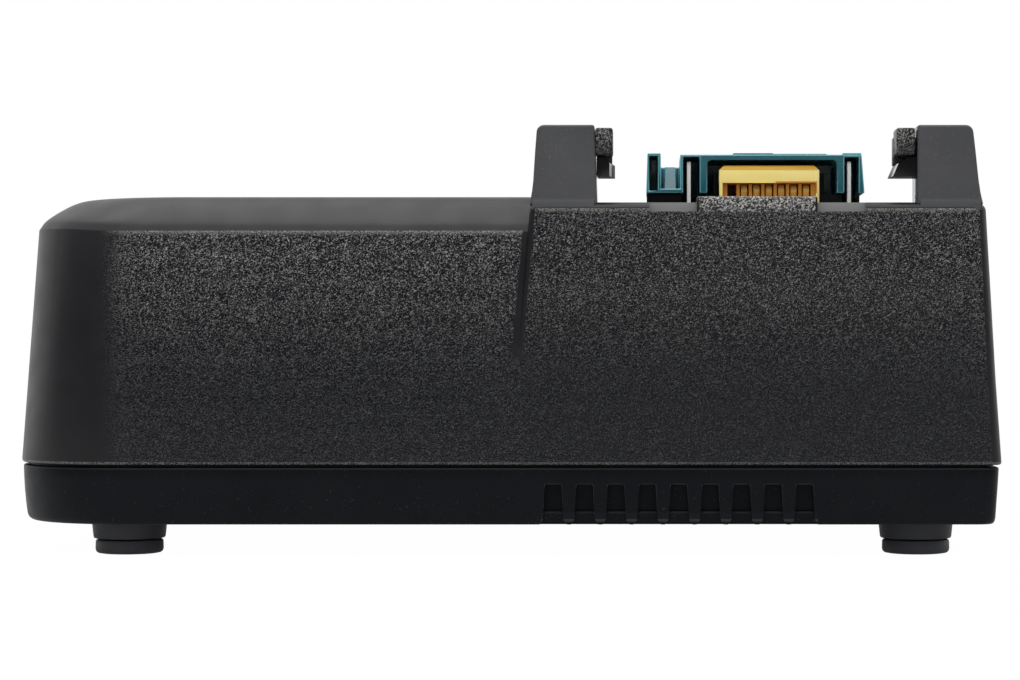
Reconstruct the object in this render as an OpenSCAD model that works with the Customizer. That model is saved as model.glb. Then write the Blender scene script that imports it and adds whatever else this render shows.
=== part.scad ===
// Bench charger for slide-on tool batteries, in millimetres.
// The origin is on the table, under the middle of the charger. X runs along the width,
// the battery slides in from the front towards +Y, and Z is up.

/* [Overall] */
// Width of the case at the parting line
body_w = 190; // [158:1:230]
// Depth of the case at the parting line
body_d = 150; // [125:1:180]
// Gap between the table and the underside of the case
foot_clear = 6.3; // [5:0.1:9]
// Height of the lower case, from its underside to the parting line
base_h = 11.3; // [10:0.1:16]
// Height of the battery deck above the parting line
deck_h = 49.6; // [41:0.1:60]
// Height of the power supply body above the parting line
supply_h = 51.4; // [43:0.1:63]

/* [Case] */
// Thickness of the case walls
wall = 2.5; // [1.8:0.1:3.2]
// Thickness of the lower case's floor
floor_t = 2; // [1.6:0.1:2.6]
// Height of the smooth crown above the textured sides
crown_h = 7.2; // [5:0.1:10]
// Plan radius of the two left corners
corner_r = 22; // [12:1:30]
// Plan radius of the two right corners
block_r = 3; // [2:0.5:6]
// Lean of the front and back faces, in degrees
face_lean = 4.4; // [1:0.1:6]
// Lean of the left side, in degrees
left_lean = 3.4; // [1:0.1:6]
// Lean of the right side, in degrees
right_lean = 3.7; // [1:0.1:5]
// Height of the tongue that keys the two case halves together
tongue_h = 2; // [1:0.1:3]
// Width of the visible line between the case halves
parting_gap = 0.4; // [0.2:0.1:0.8]

/* [Battery bay] */
// Width of the battery bay block at deck level
block_w = 86.5; // [82:0.1:90]
// Lean of the block's left face, in degrees
block_left_lean = 4.7; // [1:0.1:6]
// Lean of the block's front face, in degrees
block_face_lean = 1.2; // [0.5:0.1:3]
// Height above the parting line at which the block's front comes out of the case
block_out_h = 15.4; // [10:0.1:25]
// Radius along the top edge of the block
deck_r = 1.7; // [0.8:0.1:2.5]
// Clear width between the two rail posts
bay_gap = 60.9; // [58:0.1:64]
// Height of the rail posts above the deck
post_h = 15; // [12:0.1:18]
// Depth of the rail posts, front to back
post_d = 11; // [9:0.1:16]
// Set-back of the rail posts from the deck's front edge
post_set = 0.6; // [0.2:0.1:2]
// Clear height under the keels, for the battery's flanges
flange_gap = 5.3; // [4.5:0.1:6.2]
// Reach of the left keel into the bay
keel_left = 3.3; // [2.5:0.1:4.5]
// Reach of the right keel into the bay
keel_right = 5; // [3:0.1:6]
// Reach of the left textured tab into the bay
tab_left = 3; // [2:0.1:4]
// Reach of the right textured tab into the bay
tab_right = 3.8; // [2:0.1:4.6]
// Height of the low kerbs at the back of the bay
kerb_h = 5; // [2:0.1:6]
// Thickness of the low kerbs
kerb_t = 6; // [3:0.1:8]

/* [Front notch] */
// Width of the notch in the deck's front edge
notch_w = 41.1; // [38:0.1:46]
// Height of the notch
notch_h = 1.9; // [1:0.1:2.4]
// Depth of the notch
notch_d = 2.2; // [1.5:0.1:4]
// Width of the textured block in the notch
cap_w = 22.9; // [18:0.1:26]
// Height of the textured block above the deck
cap_h = 1.4; // [0.6:0.1:2]
// Depth of the textured block
cap_d = 6.5; // [4:0.1:8]

/* [Terminals] */
// Distance of the shutter's front face behind the case's front
terminal_set = 43.5; // [41:0.1:50]
// Sideways distance of the contacts' middle from the bay's middle
terminal_shift = 4.05; // [2:0.05:6]
// Reach of the shutter to the left of the contacts' middle
cover_left = 25.2; // [24.6:0.1:26]
// Reach of the shutter to the right of the contacts' middle
cover_right = 19.55; // [19.2:0.05:20.4]
// Depth of the shutter
cover_d = 20; // [18:0.1:24]
// Travel of the shutter
cover_travel = 18; // [14:0.1:20]
// Underside of the shutter above the deck
cover_low = 4.2; // [3.8:0.1:5]
// Top plate of the shutter above the deck
cover_top = 12.1; // [11.6:0.1:13]
// Thickness of the shutter's walls
cover_wall = 1.1; // [0.8:0.05:1.3]
// Distance between the power blades
blade_pitch = 32.9; // [32:0.1:34]
// Thickness of a power blade
blade_t = 0.75; // [0.5:0.05:1]
// Length of a power blade in the slot
blade_l = 14; // [10:0.1:15]
// Width of the data connector
connector_w = 20.5; // [19.5:0.1:21.5]
// Top of the data connector above the deck
connector_top = 9.9; // [9:0.1:10.4]
// Depth of the data connector
connector_d = 15; // [12:0.1:18]
// Spacing of the data contacts
contact_pitch = 2.54; // [2.3:0.01:2.6]
// Number of data contacts
contact_n = 6; // [4:1:6]

/* [Vents and feet] */
// Number of vent slots in the lower case
vent_n = 9; // [5:1:9]
// Spacing of the vent slots
vent_pitch = 5.96; // [5.2:0.01:6.5]
// Width of a vent slot at its lower end
vent_w = 3.85; // [3:0.05:4.2]
// Width of a vent slot at its upper end
vent_top_w = 3.1; // [2.4:0.05:3.4]
// Height of the vent slots above the underside of the case
vent_h = 7.6; // [5:0.1:8]
// Distance of the first vent slot's middle from the block's left edge
vent_start = 4.5; // [3:0.1:8]
// Diameter of a rubber foot
foot_dia = 13.1; // [11:0.1:15]
// Height of the visible part of a rubber foot
foot_h = 2.65; // [2:0.05:3.5]
// Distance of the left feet from the case's left side
foot_left = 22; // [20:0.1:30]
// Distance of the right feet from the case's right side
foot_right = 15.2; // [12:0.1:24]
// Distance of the feet from the front and back
foot_inset = 15; // [12:0.1:24]

/* [Fan] */
// Outer size of the square fan frame
fan_size = 50; // [40:1:52]
// Thickness of the fan
fan_t = 15; // [10:1:18]
// Height of the duct between the fan and the deck
duct_h = 14; // [10:0.5:16]
// Number of fan blades
fan_blades = 7; // [5:1:9]
// Wall thickness of the duct
duct_wall = 1.6; // [1.2:0.1:2.4]

/* [Cord outlet] */
// Bore of the bushing for the mains cord
cord_bore = 7.5; // [6:0.1:9]
// Outer diameter of the bushing
bushing_dia = 13; // [11:0.1:15]
// Height of the bushing's axis above the parting line
bushing_z = 14; // [12:0.5:24]

/* [Fits] */
// Running clearance around shafts and rods
shaft_gap = 0.05; // [0.02:0.01:0.1]
// Clearance between moving faces
slide_gap = 0.3; // [0.2:0.05:0.4]
// Clearance around pieces that drop into a seat
seat_gap = 0.2; // [0.1:0.05:0.3]

/* [Hidden] */
$fn = 48;
hull_fn = 32;
slice = 0.01;
cut = 1;

// Main levels and edges of the case
x_left = -body_w / 2;
x_right = body_w / 2;
y_front = -body_d / 2;
y_rear = body_d / 2;
case_z = foot_clear;
part_z = case_z + base_h;
deck_z = part_z + deck_h;
supply_z = part_z + supply_h;
crown_z = supply_z - crown_h;
ceiling_z = deck_z - wall;

// Edges of the battery bay block at deck level
block_x1 = x_right - deck_h * tan(right_lean);
block_x0 = block_x1 - block_w;
bay_x = (block_x0 + block_x1) / 2;
block_left_r = 1.2;
block_foot_x = block_x0 - deck_h * tan(block_left_lean);
block_foot_y = block_out_h * (tan(face_lean) - tan(block_face_lean));
deck_front_y = y_front + block_foot_y + deck_h * tan(block_face_lean);
deck_rear_y = -deck_front_y;

// Rail posts
post_y0 = deck_front_y + post_set;
post_y1 = post_y0 + post_d;
post_left_x = bay_x - bay_gap / 2;
post_right_x = bay_x + bay_gap / 2;
post_top_z = deck_z + post_h;
tab_top_drop = 0.5;
tab_low = 9.3;
tab_d = 7;
keel_top = 8.9;
keel_lead = 1;
keel_set = 1.2;

// Terminals
term_x = bay_x + terminal_shift;
cover_y0 = y_front + terminal_set;
cover_y1 = cover_y0 + cover_d;
cover_z0 = deck_z + cover_low;
plate_t = 1.1;
cover_back = 1.8;
ramp_l = 7;
ramp_set = 0.8;
notch_floor_t = 0.9;
notch_back_h = 6.2;
post_w = 3;
key_w = 3.95;
thin_wall = 0.6;
slot_open = 3.4;
slot_depth = 15.5;
pillar_w = 1.45;
base_y0 = cover_y0 + 1;
base_y1 = cover_y1 + cover_travel + 5;
base_z0 = deck_z - 7;
base_z1 = cover_z0 - slide_gap;
base_x0 = term_x - cover_left + 0.1;
base_x1 = term_x + cover_right - 1;
connector_seat_z = deck_z + 1.3;
groove_w = 3.6;
groove_z0 = deck_z + 0.1;
groove_y0 = cover_y0 + slot_depth + 0.6;
groove_y1 = base_y1 - 2;
lug_w = groove_w - 2 * slide_gap;
lug_l = 3;
lug_y0 = groove_y0 + slide_gap;
rod_r = 0.7;
rod_seat = 0.9;
rod_end_gap = 0.8;
rod_z = deck_z + 2;
groove_left_x = term_x - cover_left + post_w + key_w / 2;
groove_right_x = term_x + cover_right - 4.85;
spring_r = 1.15;
spring_wire_r = 0.25;
spring_turns = 6;
flange_w = 4;
flange_t = 3;
base_screw_r = 1.1;

// Outlet in the deck, between the front notch and the shutter
grille_w = 37;
grille_y0 = deck_front_y + 9;
grille_y1 = cover_y0 - 3.5;
grille_t = 1.4;
grille_rim = 2;

// Fan and duct
fan_x = bay_x;
fan_z1 = ceiling_z - duct_h;
fan_z0 = fan_z1 - fan_t;
fan_front_gap = 3;
fan_y = y_front + wall + fan_front_gap + fan_size / 2;
fan_bore_r = fan_size / 2 - 1.8;
fan_hub_r = 11;
fan_tip_gap = 0.8;
fan_hole = fan_size / 2 - 4;
fan_screw_r = 1.4;
spindle_r = 1.2;

// Board
board_t = 1.6;
board_z0 = case_z + floor_t + 8;
board_z1 = board_z0 + board_t;
board_inset = 14;
board_x0 = x_left + board_inset;
board_x1 = x_right - board_inset;
board_y0 = y_front + board_inset;
board_y1 = y_rear - board_inset;
screw_head_r = 2.7;
screw_head_h = 1.9;
screw_r = 1.45;
pilot_r = 1.5;
boss_r = 3.6;
split_x = block_foot_x - 6;

// Case screws: [x, y, top of the boss in the upper case]
case_screws_at = [
    [x_left + 8, y_front + 36, crown_z + 2], [x_left + 8, y_rear - 36, crown_z + 2],
    [x_right - 9, y_front + 34, ceiling_z + 0.5], [x_right - 9, y_rear - 34, ceiling_z + 0.5],
    [split_x, y_front + 14, supply_z - wall / 2], [split_x, y_rear - 14, supply_z - wall / 2]
];
board_screw_xy = [
    [board_x0 + 14, board_y0 + 6], [board_x0 + 14, board_y1 - 6],
    [board_x1 - 6, board_y0 + 6], [board_x1 - 6, board_y1 - 6]
];
boss_joint_z = part_z + tongue_h;
foot_x = [x_left + foot_left, x_right - foot_right];
foot_y = [y_front + foot_inset, y_rear - foot_inset];
foot_boss_r = foot_dia / 2 + 0.75;
foot_stub_r = 4;
foot_stub_h = 2.2;

// Charge lights, on the top of the supply body beside the bay
lens_w = 34;
lens_d = 7;
lens_x = block_x0 - 26;
lens_y = y_front + 42;
lens_z1 = supply_z - 0.2;
lens_t = wall + 1;
led_n = 4;
led_pitch = 8;
led_board_drop = 14;
led_board_z1 = supply_z - led_board_drop;
led_board_t = 1.2;
led_board_z0 = led_board_z1 - led_board_t;
buzzer_r = 6;
buzzer_h = 6;
buzzer_gap = 2;
led_board_w = 46;
led_board_d = 16;

// Bushing in the rear wall
bushing_x = x_left + 38;
bushing_axis_z = part_z + bushing_z;
bushing_y1 = y_rear - bushing_z * tan(face_lean) - 1.5;
bushing_l = 9;
bushing_flange_r = bushing_dia / 2 + 2.2;

// Rail posts, from the deck up: [share of the height, inset outside, inset inside]
post_steps = [
    [0, 0, 0], [0.1, 0.25, 0.01], [0.87, 1.2, 0.02], [0.91, 1.35, 0.04],
    [0.96, 1.8, 0.25], [0.985, 2.3, 0.5], [1, 3, 0.9]
];
kerb_set = 0.2;
stop_y0 = deck_rear_y - 12;

// Contacts
blade_y0 = cover_y0 + 1;
blade_seat_z = deck_z + 1;
slot_half = 1.5;
strip_t = 0.8;
strip_l = 8;
strip_h = 4.5;
strip_gap = 0.35;
tail_l = 4;
tail_set = 4;
tail_clear = 1;
tail_y0 = max(blade_y0 + tail_set, fan_y + fan_size / 2 - tail_clear);
tail_drop = 4;
lead_r = 1.3;
lead_bend = 4;
lead_drop = 9;
lead_set = 7;
lead_step = 3;
mouth_set = 1;
mouth_depth = 8;
mouth_drop = 3.6;
place_w = 1.9;
contact_w = 1.3;
contact_high = 2.6;

// Fasteners
head_seat_h = 6;
case_screw_l = 16;
led_screw_xy = [for (side = [-1, 1]) [lens_x + side * (led_board_w / 2 - 4), lens_y]];
base_screw_xy = [for (sx = [-1, 1], sy = [0, 1])
    [(base_x0 + base_x1) / 2 + sx * ((base_x1 - base_x0) / 2 + flange_w / 2),
        base_y0 + 6 + sy * (base_y1 - base_y0 - 10)]];
fan_hole_xy = [for (x = [-1, 1], y = [-1, 1]) [fan_x + x * fan_hole, fan_y + y * fan_hole]];

// Components on the board, and the lamps
core_w = 36;
core_d = 14;
core_h = led_board_z0 - buzzer_h - buzzer_gap - board_z1;
core_leg = 6;
coil_r = 11.6;
coil_gap = 0.2;
bulk_r = 8;
bulk_h = 28;
bulk_pitch = 18;
output_r = 5;
output_h = 18;
output_n = 3;
output_pitch = 11.5;
output_gap = 7;
relay_w = 19;
relay_d = 15;
relay_h = 15;
sink_h = core_h;
sink_l = 44;
sink_a_x = board_x0 + 12;
sink_b_x = split_x - 12;
transformer_xy = [(sink_a_x + sink_b_x) / 2, y_front + 44];
mains_xy = [bushing_x + 4, board_y1 - 8];
fuse_xy = [mains_xy[0] + 16, board_y1 - 14];
choke_xy = [mains_xy[0] + 2, board_y1 - 28];
bulk_xy = [for (i = [0, 1]) [block_x0 + 12 + i * bulk_pitch, board_y1 - 12]];
relay_xy = [block_x1 - 34, board_y1 - 10];
output_xy = [for (i = [0 : output_n - 1])
    [block_x1 - 46 + i * output_pitch, relay_xy[1] - relay_d / 2 - output_gap - output_r]];
led_xy = [for (i = [0 : led_n - 1]) [lens_x + (i - (led_n - 1) / 2) * led_pitch, lens_y]];

function lean(h, a) = h * tan(a);

// A level of a leaning case body: [z, x0, x1, y0, y1, left radius, right radius]
function shell_level(z, left, right, front, r0, r1) =
    [z, x_left + left, x_right - right, y_front + front, y_rear - front, r0, r1];

// Crown of the supply body, as shares of its height: [height above its start, inset]
crown_steps = [
    [0, 0], [0.13, 0.062], [0.257, 0.13], [0.4, 0.25], [0.61, 0.47],
    [0.8, 0.71], [0.93, 0.94], [0.985, 1.17], [1, 1.38]
];

// Lower case: [height as a share of its own, inset at the left, at the right, at front and back]
base_steps = [[0, 2.1, 1.7, 1.7], [0.05, 1.2, 1.15, 1], [0.3, 0.75, 0.9, 0.7]];
lip = 0.3;

// Thin slice of a case body: a rounded rectangle at one height
module level_slice(l) {
    for (c = [[l[1], 1, l[5]], [l[2], -1, l[6]]])
        for (s = [[l[3], 1], [l[4], -1]])
            translate([c[0] + c[1] * c[2], s[0] + s[1] * c[2], l[0]])
                cylinder(r = c[2], h = slice, $fn = hull_fn);
}

// One convex solid through a stack of levels
module stack(levels) {
    hull()
        for (l = levels)
            level_slice(l);
}

// Solid through a stack of levels, joined level by level
module loft(levels) {
    for (i = [0 : len(levels) - 2])
        hull() {
            level_slice(levels[i]);
            level_slice(levels[i + 1]);
        }
}

// Supply body, shrunk by t on every side but its open underside
module supply_body(t) {
    side_h = supply_h - crown_h;
    end_x = t > 0 ? block_x0 - t : block_x0 + 8;
    loft(concat(
        [[part_z - t, x_left + t, end_x, y_front + t, y_rear - t, corner_r - t, block_r]],
        [for (s = crown_steps)
            shell_level(
                crown_z + s[0] * crown_h - t - slice,
                lean(side_h, left_lean) + s[1] * crown_h + t,
                x_right - end_x,
                lean(side_h, face_lean) + s[1] * crown_h + t,
                corner_r - t,
                block_r
            )]
    ));
}

// Case body under the battery deck, which leans like the supply body
module bay_body(t) {
    edge_x = t > 0 ? block_x0 + 1 : block_x0 + 3;
    top_z = t > 0 ? ceiling_z : deck_z - deck_r;
    loft([
        [part_z - t, edge_x, x_right - t, y_front + t, y_rear - t, block_r - 1, block_r],
        [top_z - slice, edge_x, block_x1 - t,
            y_front + lean(deck_h, face_lean) + t, y_rear - lean(deck_h, face_lean) - t,
            block_r - 1, block_r]
    ]);
}

// Battery bay block with its steeper front and its rounded top edge
module bay_block() {
    steps = [[deck_r, 0], [deck_r * 0.45, deck_r * 0.16], [deck_r * 0.13, deck_r * 0.5], [0, deck_r]];
    loft(concat(
        [[part_z, block_foot_x, x_right, y_front + block_foot_y, y_rear - block_foot_y,
            block_left_r, block_r]],
        [for (s = steps)
            [deck_z - s[0] - slice, block_x0 + s[1], block_x1 - s[1],
                deck_front_y + s[1], deck_rear_y - s[1], block_left_r, block_r]]
    ));
}

// Lower body, shrunk by t at its sides
module lower_body(t) {
    bottom = t > 0 ? floor_t : 0;
    stack(concat(
        [for (s = base_steps)
            [case_z + bottom + s[0] * base_h, x_left + s[1] + t, x_right - s[2] - t,
                y_front + s[3] + t, y_rear - s[3] - t, corner_r - s[1] / 2 - t, block_r]],
        [[part_z - parting_gap - slice + (t > 0 ? cut : 0), x_left + lip + t, x_right - lip - t,
            y_front + lip + t, y_rear - lip - t, corner_r - t, block_r]]
    ));
}

// Straight-sided plan of the case, inset by t, between two heights
module case_plan(t, z0, z1) {
    stack([for (z = [z0, z1 - slice])
        [z, x_left + t, x_right - t, y_front + t, y_rear - t, corner_r - t, block_r]]);
}

module box(x0, x1, y0, y1, z0, z1) {
    translate([x0, y0, z0])
        cube([x1 - x0, y1 - y0, z1 - z0]);
}

// Cylinder along Y
module rod_y(x, y0, y1, z, r) {
    translate([x, y0, z])
        rotate([-90, 0, 0])
            cylinder(r = r, h = y1 - y0);
}

module at(points) {
    for (p = points)
        translate([p[0], p[1], 0])
            children();
}

// Pan head screw with its head at z0 and its shank above it
module screw(z0, length) {
    translate([0, 0, z0])
        cylinder(r = screw_head_r, h = screw_head_h);
    translate([0, 0, z0 + screw_head_h])
        cylinder(r = screw_r, h = length);
}

// ---- Case ----

module lower_case() {
    color([0.09, 0.09, 0.1])
    difference() {
        union() {
            difference() {
                lower_body(0);
                lower_body(wall);
            }
            tongue();
            for (x = foot_x, y = foot_y)
                translate([x, y, foot_h])
                    cylinder(r1 = foot_dia / 2 + 0.1, r2 = foot_boss_r, h = case_z - foot_h + floor_t / 2);
            for (x = foot_x, y = foot_y)
                translate([x, y, case_z + floor_t / 2])
                    cylinder(r = foot_stub_r + wall, h = floor_t);
            for (p = case_screws_at)
                translate([p[0], p[1], case_z + floor_t / 2])
                    cylinder(r = boss_r, h = boss_joint_z - case_z - floor_t / 2);
            at(board_screw_xy)
                translate([0, 0, case_z + floor_t / 2])
                    cylinder(r = boss_r, h = board_z0 - case_z - floor_t / 2);
        }
        vent_slots();
        for (x = foot_x, y = foot_y)
            translate([x, y, foot_h - cut])
                cylinder(r = foot_stub_r, h = foot_stub_h + cut);
        for (p = case_screws_at)
            translate([p[0], p[1], case_z - cut])
                cylinder(r = screw_head_r + 0.4, h = head_seat_h + cut);
        for (p = case_screws_at)
            translate([p[0], p[1], case_z])
                cylinder(r = screw_r + seat_gap, h = boss_joint_z);
        at(board_screw_xy)
            translate([0, 0, board_z0 - 5])
                cylinder(r = pilot_r, h = 5 + cut);
    }
}

// Ribs along the straight sides, which reach up into the upper case's groove
module tongue() {
    out = wall / 2 + seat_gap;
    in = wall + lip - 0.1;
    z0 = part_z - parting_gap - 3;
    for (s = [-1, 1])
        box(x_left + corner_r, x_right - block_r - 2, s > 0 ? y_rear - in : y_front + out,
            s > 0 ? y_rear - out : y_front + in, z0, boss_joint_z);
    box(x_left + out, x_left + in, y_front + corner_r, y_rear - corner_r, z0, boss_joint_z);
    box(x_right - in, x_right - out, y_front + block_r + 2, y_rear - block_r - 2, z0, boss_joint_z);
}

module vent_slots() {
    for (i = [0 : vent_n - 1])
        translate([block_x0 + vent_start + i * vent_pitch, y_front + wall + 0.3, case_z])
            rotate([90, 0, 0])
                linear_extrude(wall + 0.3 + cut)
                    polygon([
                        [-vent_w / 2, -cut], [vent_w / 2, -cut],
                        [vent_top_w / 2, vent_h], [-vent_top_w / 2, vent_h]
                    ]);
}

module upper_case() {
    color([0.16, 0.16, 0.165])
    difference() {
        union() {
            difference() {
                union() {
                    supply_body(0);
                    bay_body(0);
                    bay_block();
                }
                supply_body(wall);
                bay_body(wall);
                box(block_x0 - wall - 12, block_x0 + 10, y_front + 9, y_rear - 9,
                    part_z - cut, ceiling_z - 12);
                case_plan(wall / 2, part_z - cut, boss_joint_z);
            }
            box(bay_x - notch_w / 2 - 2, bay_x + notch_w / 2 + 2,
                deck_front_y + 1, deck_front_y + notch_d + 2, ceiling_z - notch_h, ceiling_z + 0.2);
            for (p = case_screws_at)
                translate([p[0], p[1], boss_joint_z])
                    cylinder(r = boss_r, h = p[2] - boss_joint_z);
            at(led_screw_xy)
                translate([0, 0, led_board_z1])
                    cylinder(r = 3, h = supply_z - led_board_z1 - 1);
            rod_y(bushing_x, bushing_y1 - bushing_l + 1, bushing_y1, bushing_axis_z, bushing_flange_r + 2);
            box(block_x0 + kerb_t + 0.8, block_x1 - kerb_t - 0.8, stop_y0, stop_y0 + kerb_t,
                deck_z - 0.5, deck_z + kerb_h);
        }
        box(block_x0, block_x0 + 12, y_front, stop_y0 - cut, deck_z, supply_z + cut);
        box(block_x0, block_x0 + kerb_t + 0.4, stop_y0 - 2 * cut, y_rear, deck_z, supply_z + cut);
        box(bay_x - notch_w / 2, bay_x + notch_w / 2, y_front, deck_front_y + notch_d,
            deck_z - notch_h, deck_z + cut);
        terminal_opening();
        grille_opening();
        box(lens_x - lens_w / 2 - seat_gap, lens_x + lens_w / 2 + seat_gap,
            lens_y - lens_d / 2 - seat_gap, lens_y + lens_d / 2 + seat_gap,
            supply_z - wall - 2, supply_z + cut);
        rod_y(bushing_x, bushing_y1 - bushing_l, y_rear, bushing_axis_z, bushing_dia / 2 + 0.1);
        rod_y(bushing_x, bushing_y1 - 2, y_rear + cut, bushing_axis_z, bushing_flange_r + 0.2);
        for (p = case_screws_at)
            translate([p[0], p[1], boss_joint_z - cut])
                cylinder(r = pilot_r, h = case_screw_l - 6);
        at(led_screw_xy)
            translate([0, 0, led_board_z1 - cut])
                cylinder(r = pilot_r, h = 6);
        at(base_screw_xy)
            translate([0, 0, ceiling_z - cut])
                cylinder(r = base_screw_r, h = cut + 2);
    }
}

module terminal_opening() {
    box(base_x0 - slide_gap, base_x1 + slide_gap, base_y0 - slide_gap, base_y1 + slide_gap,
        ceiling_z - cut, deck_z + cut);
}

module grille_opening() {
    box(bay_x - grille_w / 2 + grille_rim, bay_x + grille_w / 2 - grille_rim,
        grille_y0 + grille_rim, grille_y1 - grille_rim, ceiling_z - cut - notch_h, deck_z + cut);
    box(bay_x - grille_w / 2 - seat_gap, bay_x + grille_w / 2 + seat_gap,
        grille_y0 - seat_gap, grille_y1 + seat_gap, deck_z - grille_t, deck_z + cut);
}

// Rail post with rounded top corners, and the low kerb behind it. side is -1 on the left.
module rail(side, inner_x, outer_x) {
    w = abs(outer_x - inner_x);
    last = len(post_steps) - 1;
    kerb_y1 = deck_rear_y - deck_r - 0.5;
    color([0.27, 0.27, 0.275])
    translate([inner_x, 0, 0])
        mirror([side < 0 ? 1 : 0, 0, 0])
            union() {
                translate([0, post_y1, deck_z])
                    rotate([90, 0, 0])
                        linear_extrude(post_d)
                            polygon(concat(
                                [for (s = post_steps) [w - s[1], s[0] * post_h]],
                                [for (i = [last : -1 : 0]) [post_steps[i][2], post_steps[i][0] * post_h]]
                            ));
                translate([w - kerb_set - kerb_t, 0, 0])
                    rotate([90, 0, 90])
                        linear_extrude(kerb_t)
                            polygon([
                                [post_y1 - 2, deck_z], [kerb_y1, deck_z],
                                [kerb_y1, deck_z + kerb_h], [post_y1 - 2, deck_z + 0.6]
                            ]);
            }
}

module rail_left() {
    rail(-1, post_left_x, block_x0 + 0.2);
}

module rail_right() {
    rail(1, post_right_x, block_x1 - 0.3);
}

// Textured tab with the keel that holds the battery's flange down. side is 1 where it faces +X.
module hook(side, face_x, tab, keel) {
    color([0.13, 0.13, 0.135])
    translate([face_x, 0, 0])
        mirror([side < 0 ? 1 : 0, 0, 0])
            union() {
                box(0, tab, post_y0 + slide_gap, post_y0 + slide_gap + tab_d,
                    deck_z + tab_low, post_top_z - tab_top_drop);
                box(0, tab + 0.4, post_y0 + tab_d - 0.5, post_y1 - 0.8,
                    deck_z + keel_top - 1, post_top_z - 2);
                translate([0, 0, deck_z + flange_gap])
                    linear_extrude(keel_top - flange_gap)
                        polygon([
                            [0, post_y0 + keel_set], [keel - keel_lead, post_y0 + keel_set],
                            [keel, post_y1 - 0.8], [0, post_y1 - 0.8]
                        ]);
            }
}

module hook_left() {
    hook(1, post_left_x, tab_left, keel_left);
}

module hook_right() {
    hook(-1, post_right_x, tab_right, keel_right);
}

// Textured block that closes the front notch and shields the outlet
module duct_cap() {
    y0 = deck_front_y + 0.4;
    y1 = y0 + cap_d;
    edge = 0.5;
    color([0.15, 0.15, 0.155])
    translate([bay_x - cap_w / 2, 0, 0])
        rotate([90, 0, 90])
            linear_extrude(cap_w)
                polygon([
                    [y0, deck_z - notch_h], [deck_front_y + notch_d, deck_z - notch_h],
                    [deck_front_y + notch_d, deck_z], [y1, deck_z], [y1, deck_z + cap_h - edge],
                    [y1 - edge, deck_z + cap_h], [y0 + edge, deck_z + cap_h], [y0, deck_z + cap_h - edge]
                ]);
}

// ---- Terminals ----

// Pedestal through the deck that carries contacts and shutter, with its fixing flange underneath
module terminal_base() {
    color([0.07, 0.07, 0.075])
    difference() {
        union() {
            box(base_x0, base_x1, base_y0, base_y1, base_z0, base_z1);
            box(base_x0 - flange_w, base_x1 + flange_w, base_y0, base_y1 + flange_w,
                ceiling_z - flange_t, ceiling_z);
            for (side = [-1, 1])
                translate([term_x + side * (connector_w / 2 + strip_gap + strip_t / 2),
                    base_y0 + 2, base_z1 - 0.1])
                    box(-strip_t / 2, strip_t / 2, 0, strip_l, 0, strip_h + 0.1);
        }
        for (x = [groove_left_x, groove_right_x])
            box(x - groove_w / 2, x + groove_w / 2, groove_y0, groove_y1, groove_z0, base_z1 + cut);
        for (x = [groove_left_x, groove_right_x])
            rod_y(x, groove_y0 - rod_seat - 0.1, base_y1 - rod_end_gap + 0.1, rod_z, rod_r + 0.02);
        box(term_x - connector_w / 2 - seat_gap, term_x + connector_w / 2 + seat_gap,
            base_y0 - cut, cover_y0 + connector_d + seat_gap, connector_seat_z, base_z1 + cut);
        for (side = [-1, 1]) {
            box(term_x + side * blade_pitch / 2 - slot_half, term_x + side * blade_pitch / 2 + slot_half,
                base_y0 - cut, blade_y0 + blade_l + seat_gap, blade_seat_z, base_z1 + cut);
            box(term_x + side * blade_pitch / 2 - blade_t / 2, term_x + side * blade_pitch / 2 + blade_t / 2,
                tail_y0, tail_y0 + tail_l, base_z0 - cut, blade_seat_z + cut);
        }
        at(base_screw_xy)
            translate([0, 0, ceiling_z - flange_t - cut])
                cylinder(r = base_screw_r + 0.2, h = flange_t + 2 * cut);
    }
}

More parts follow.
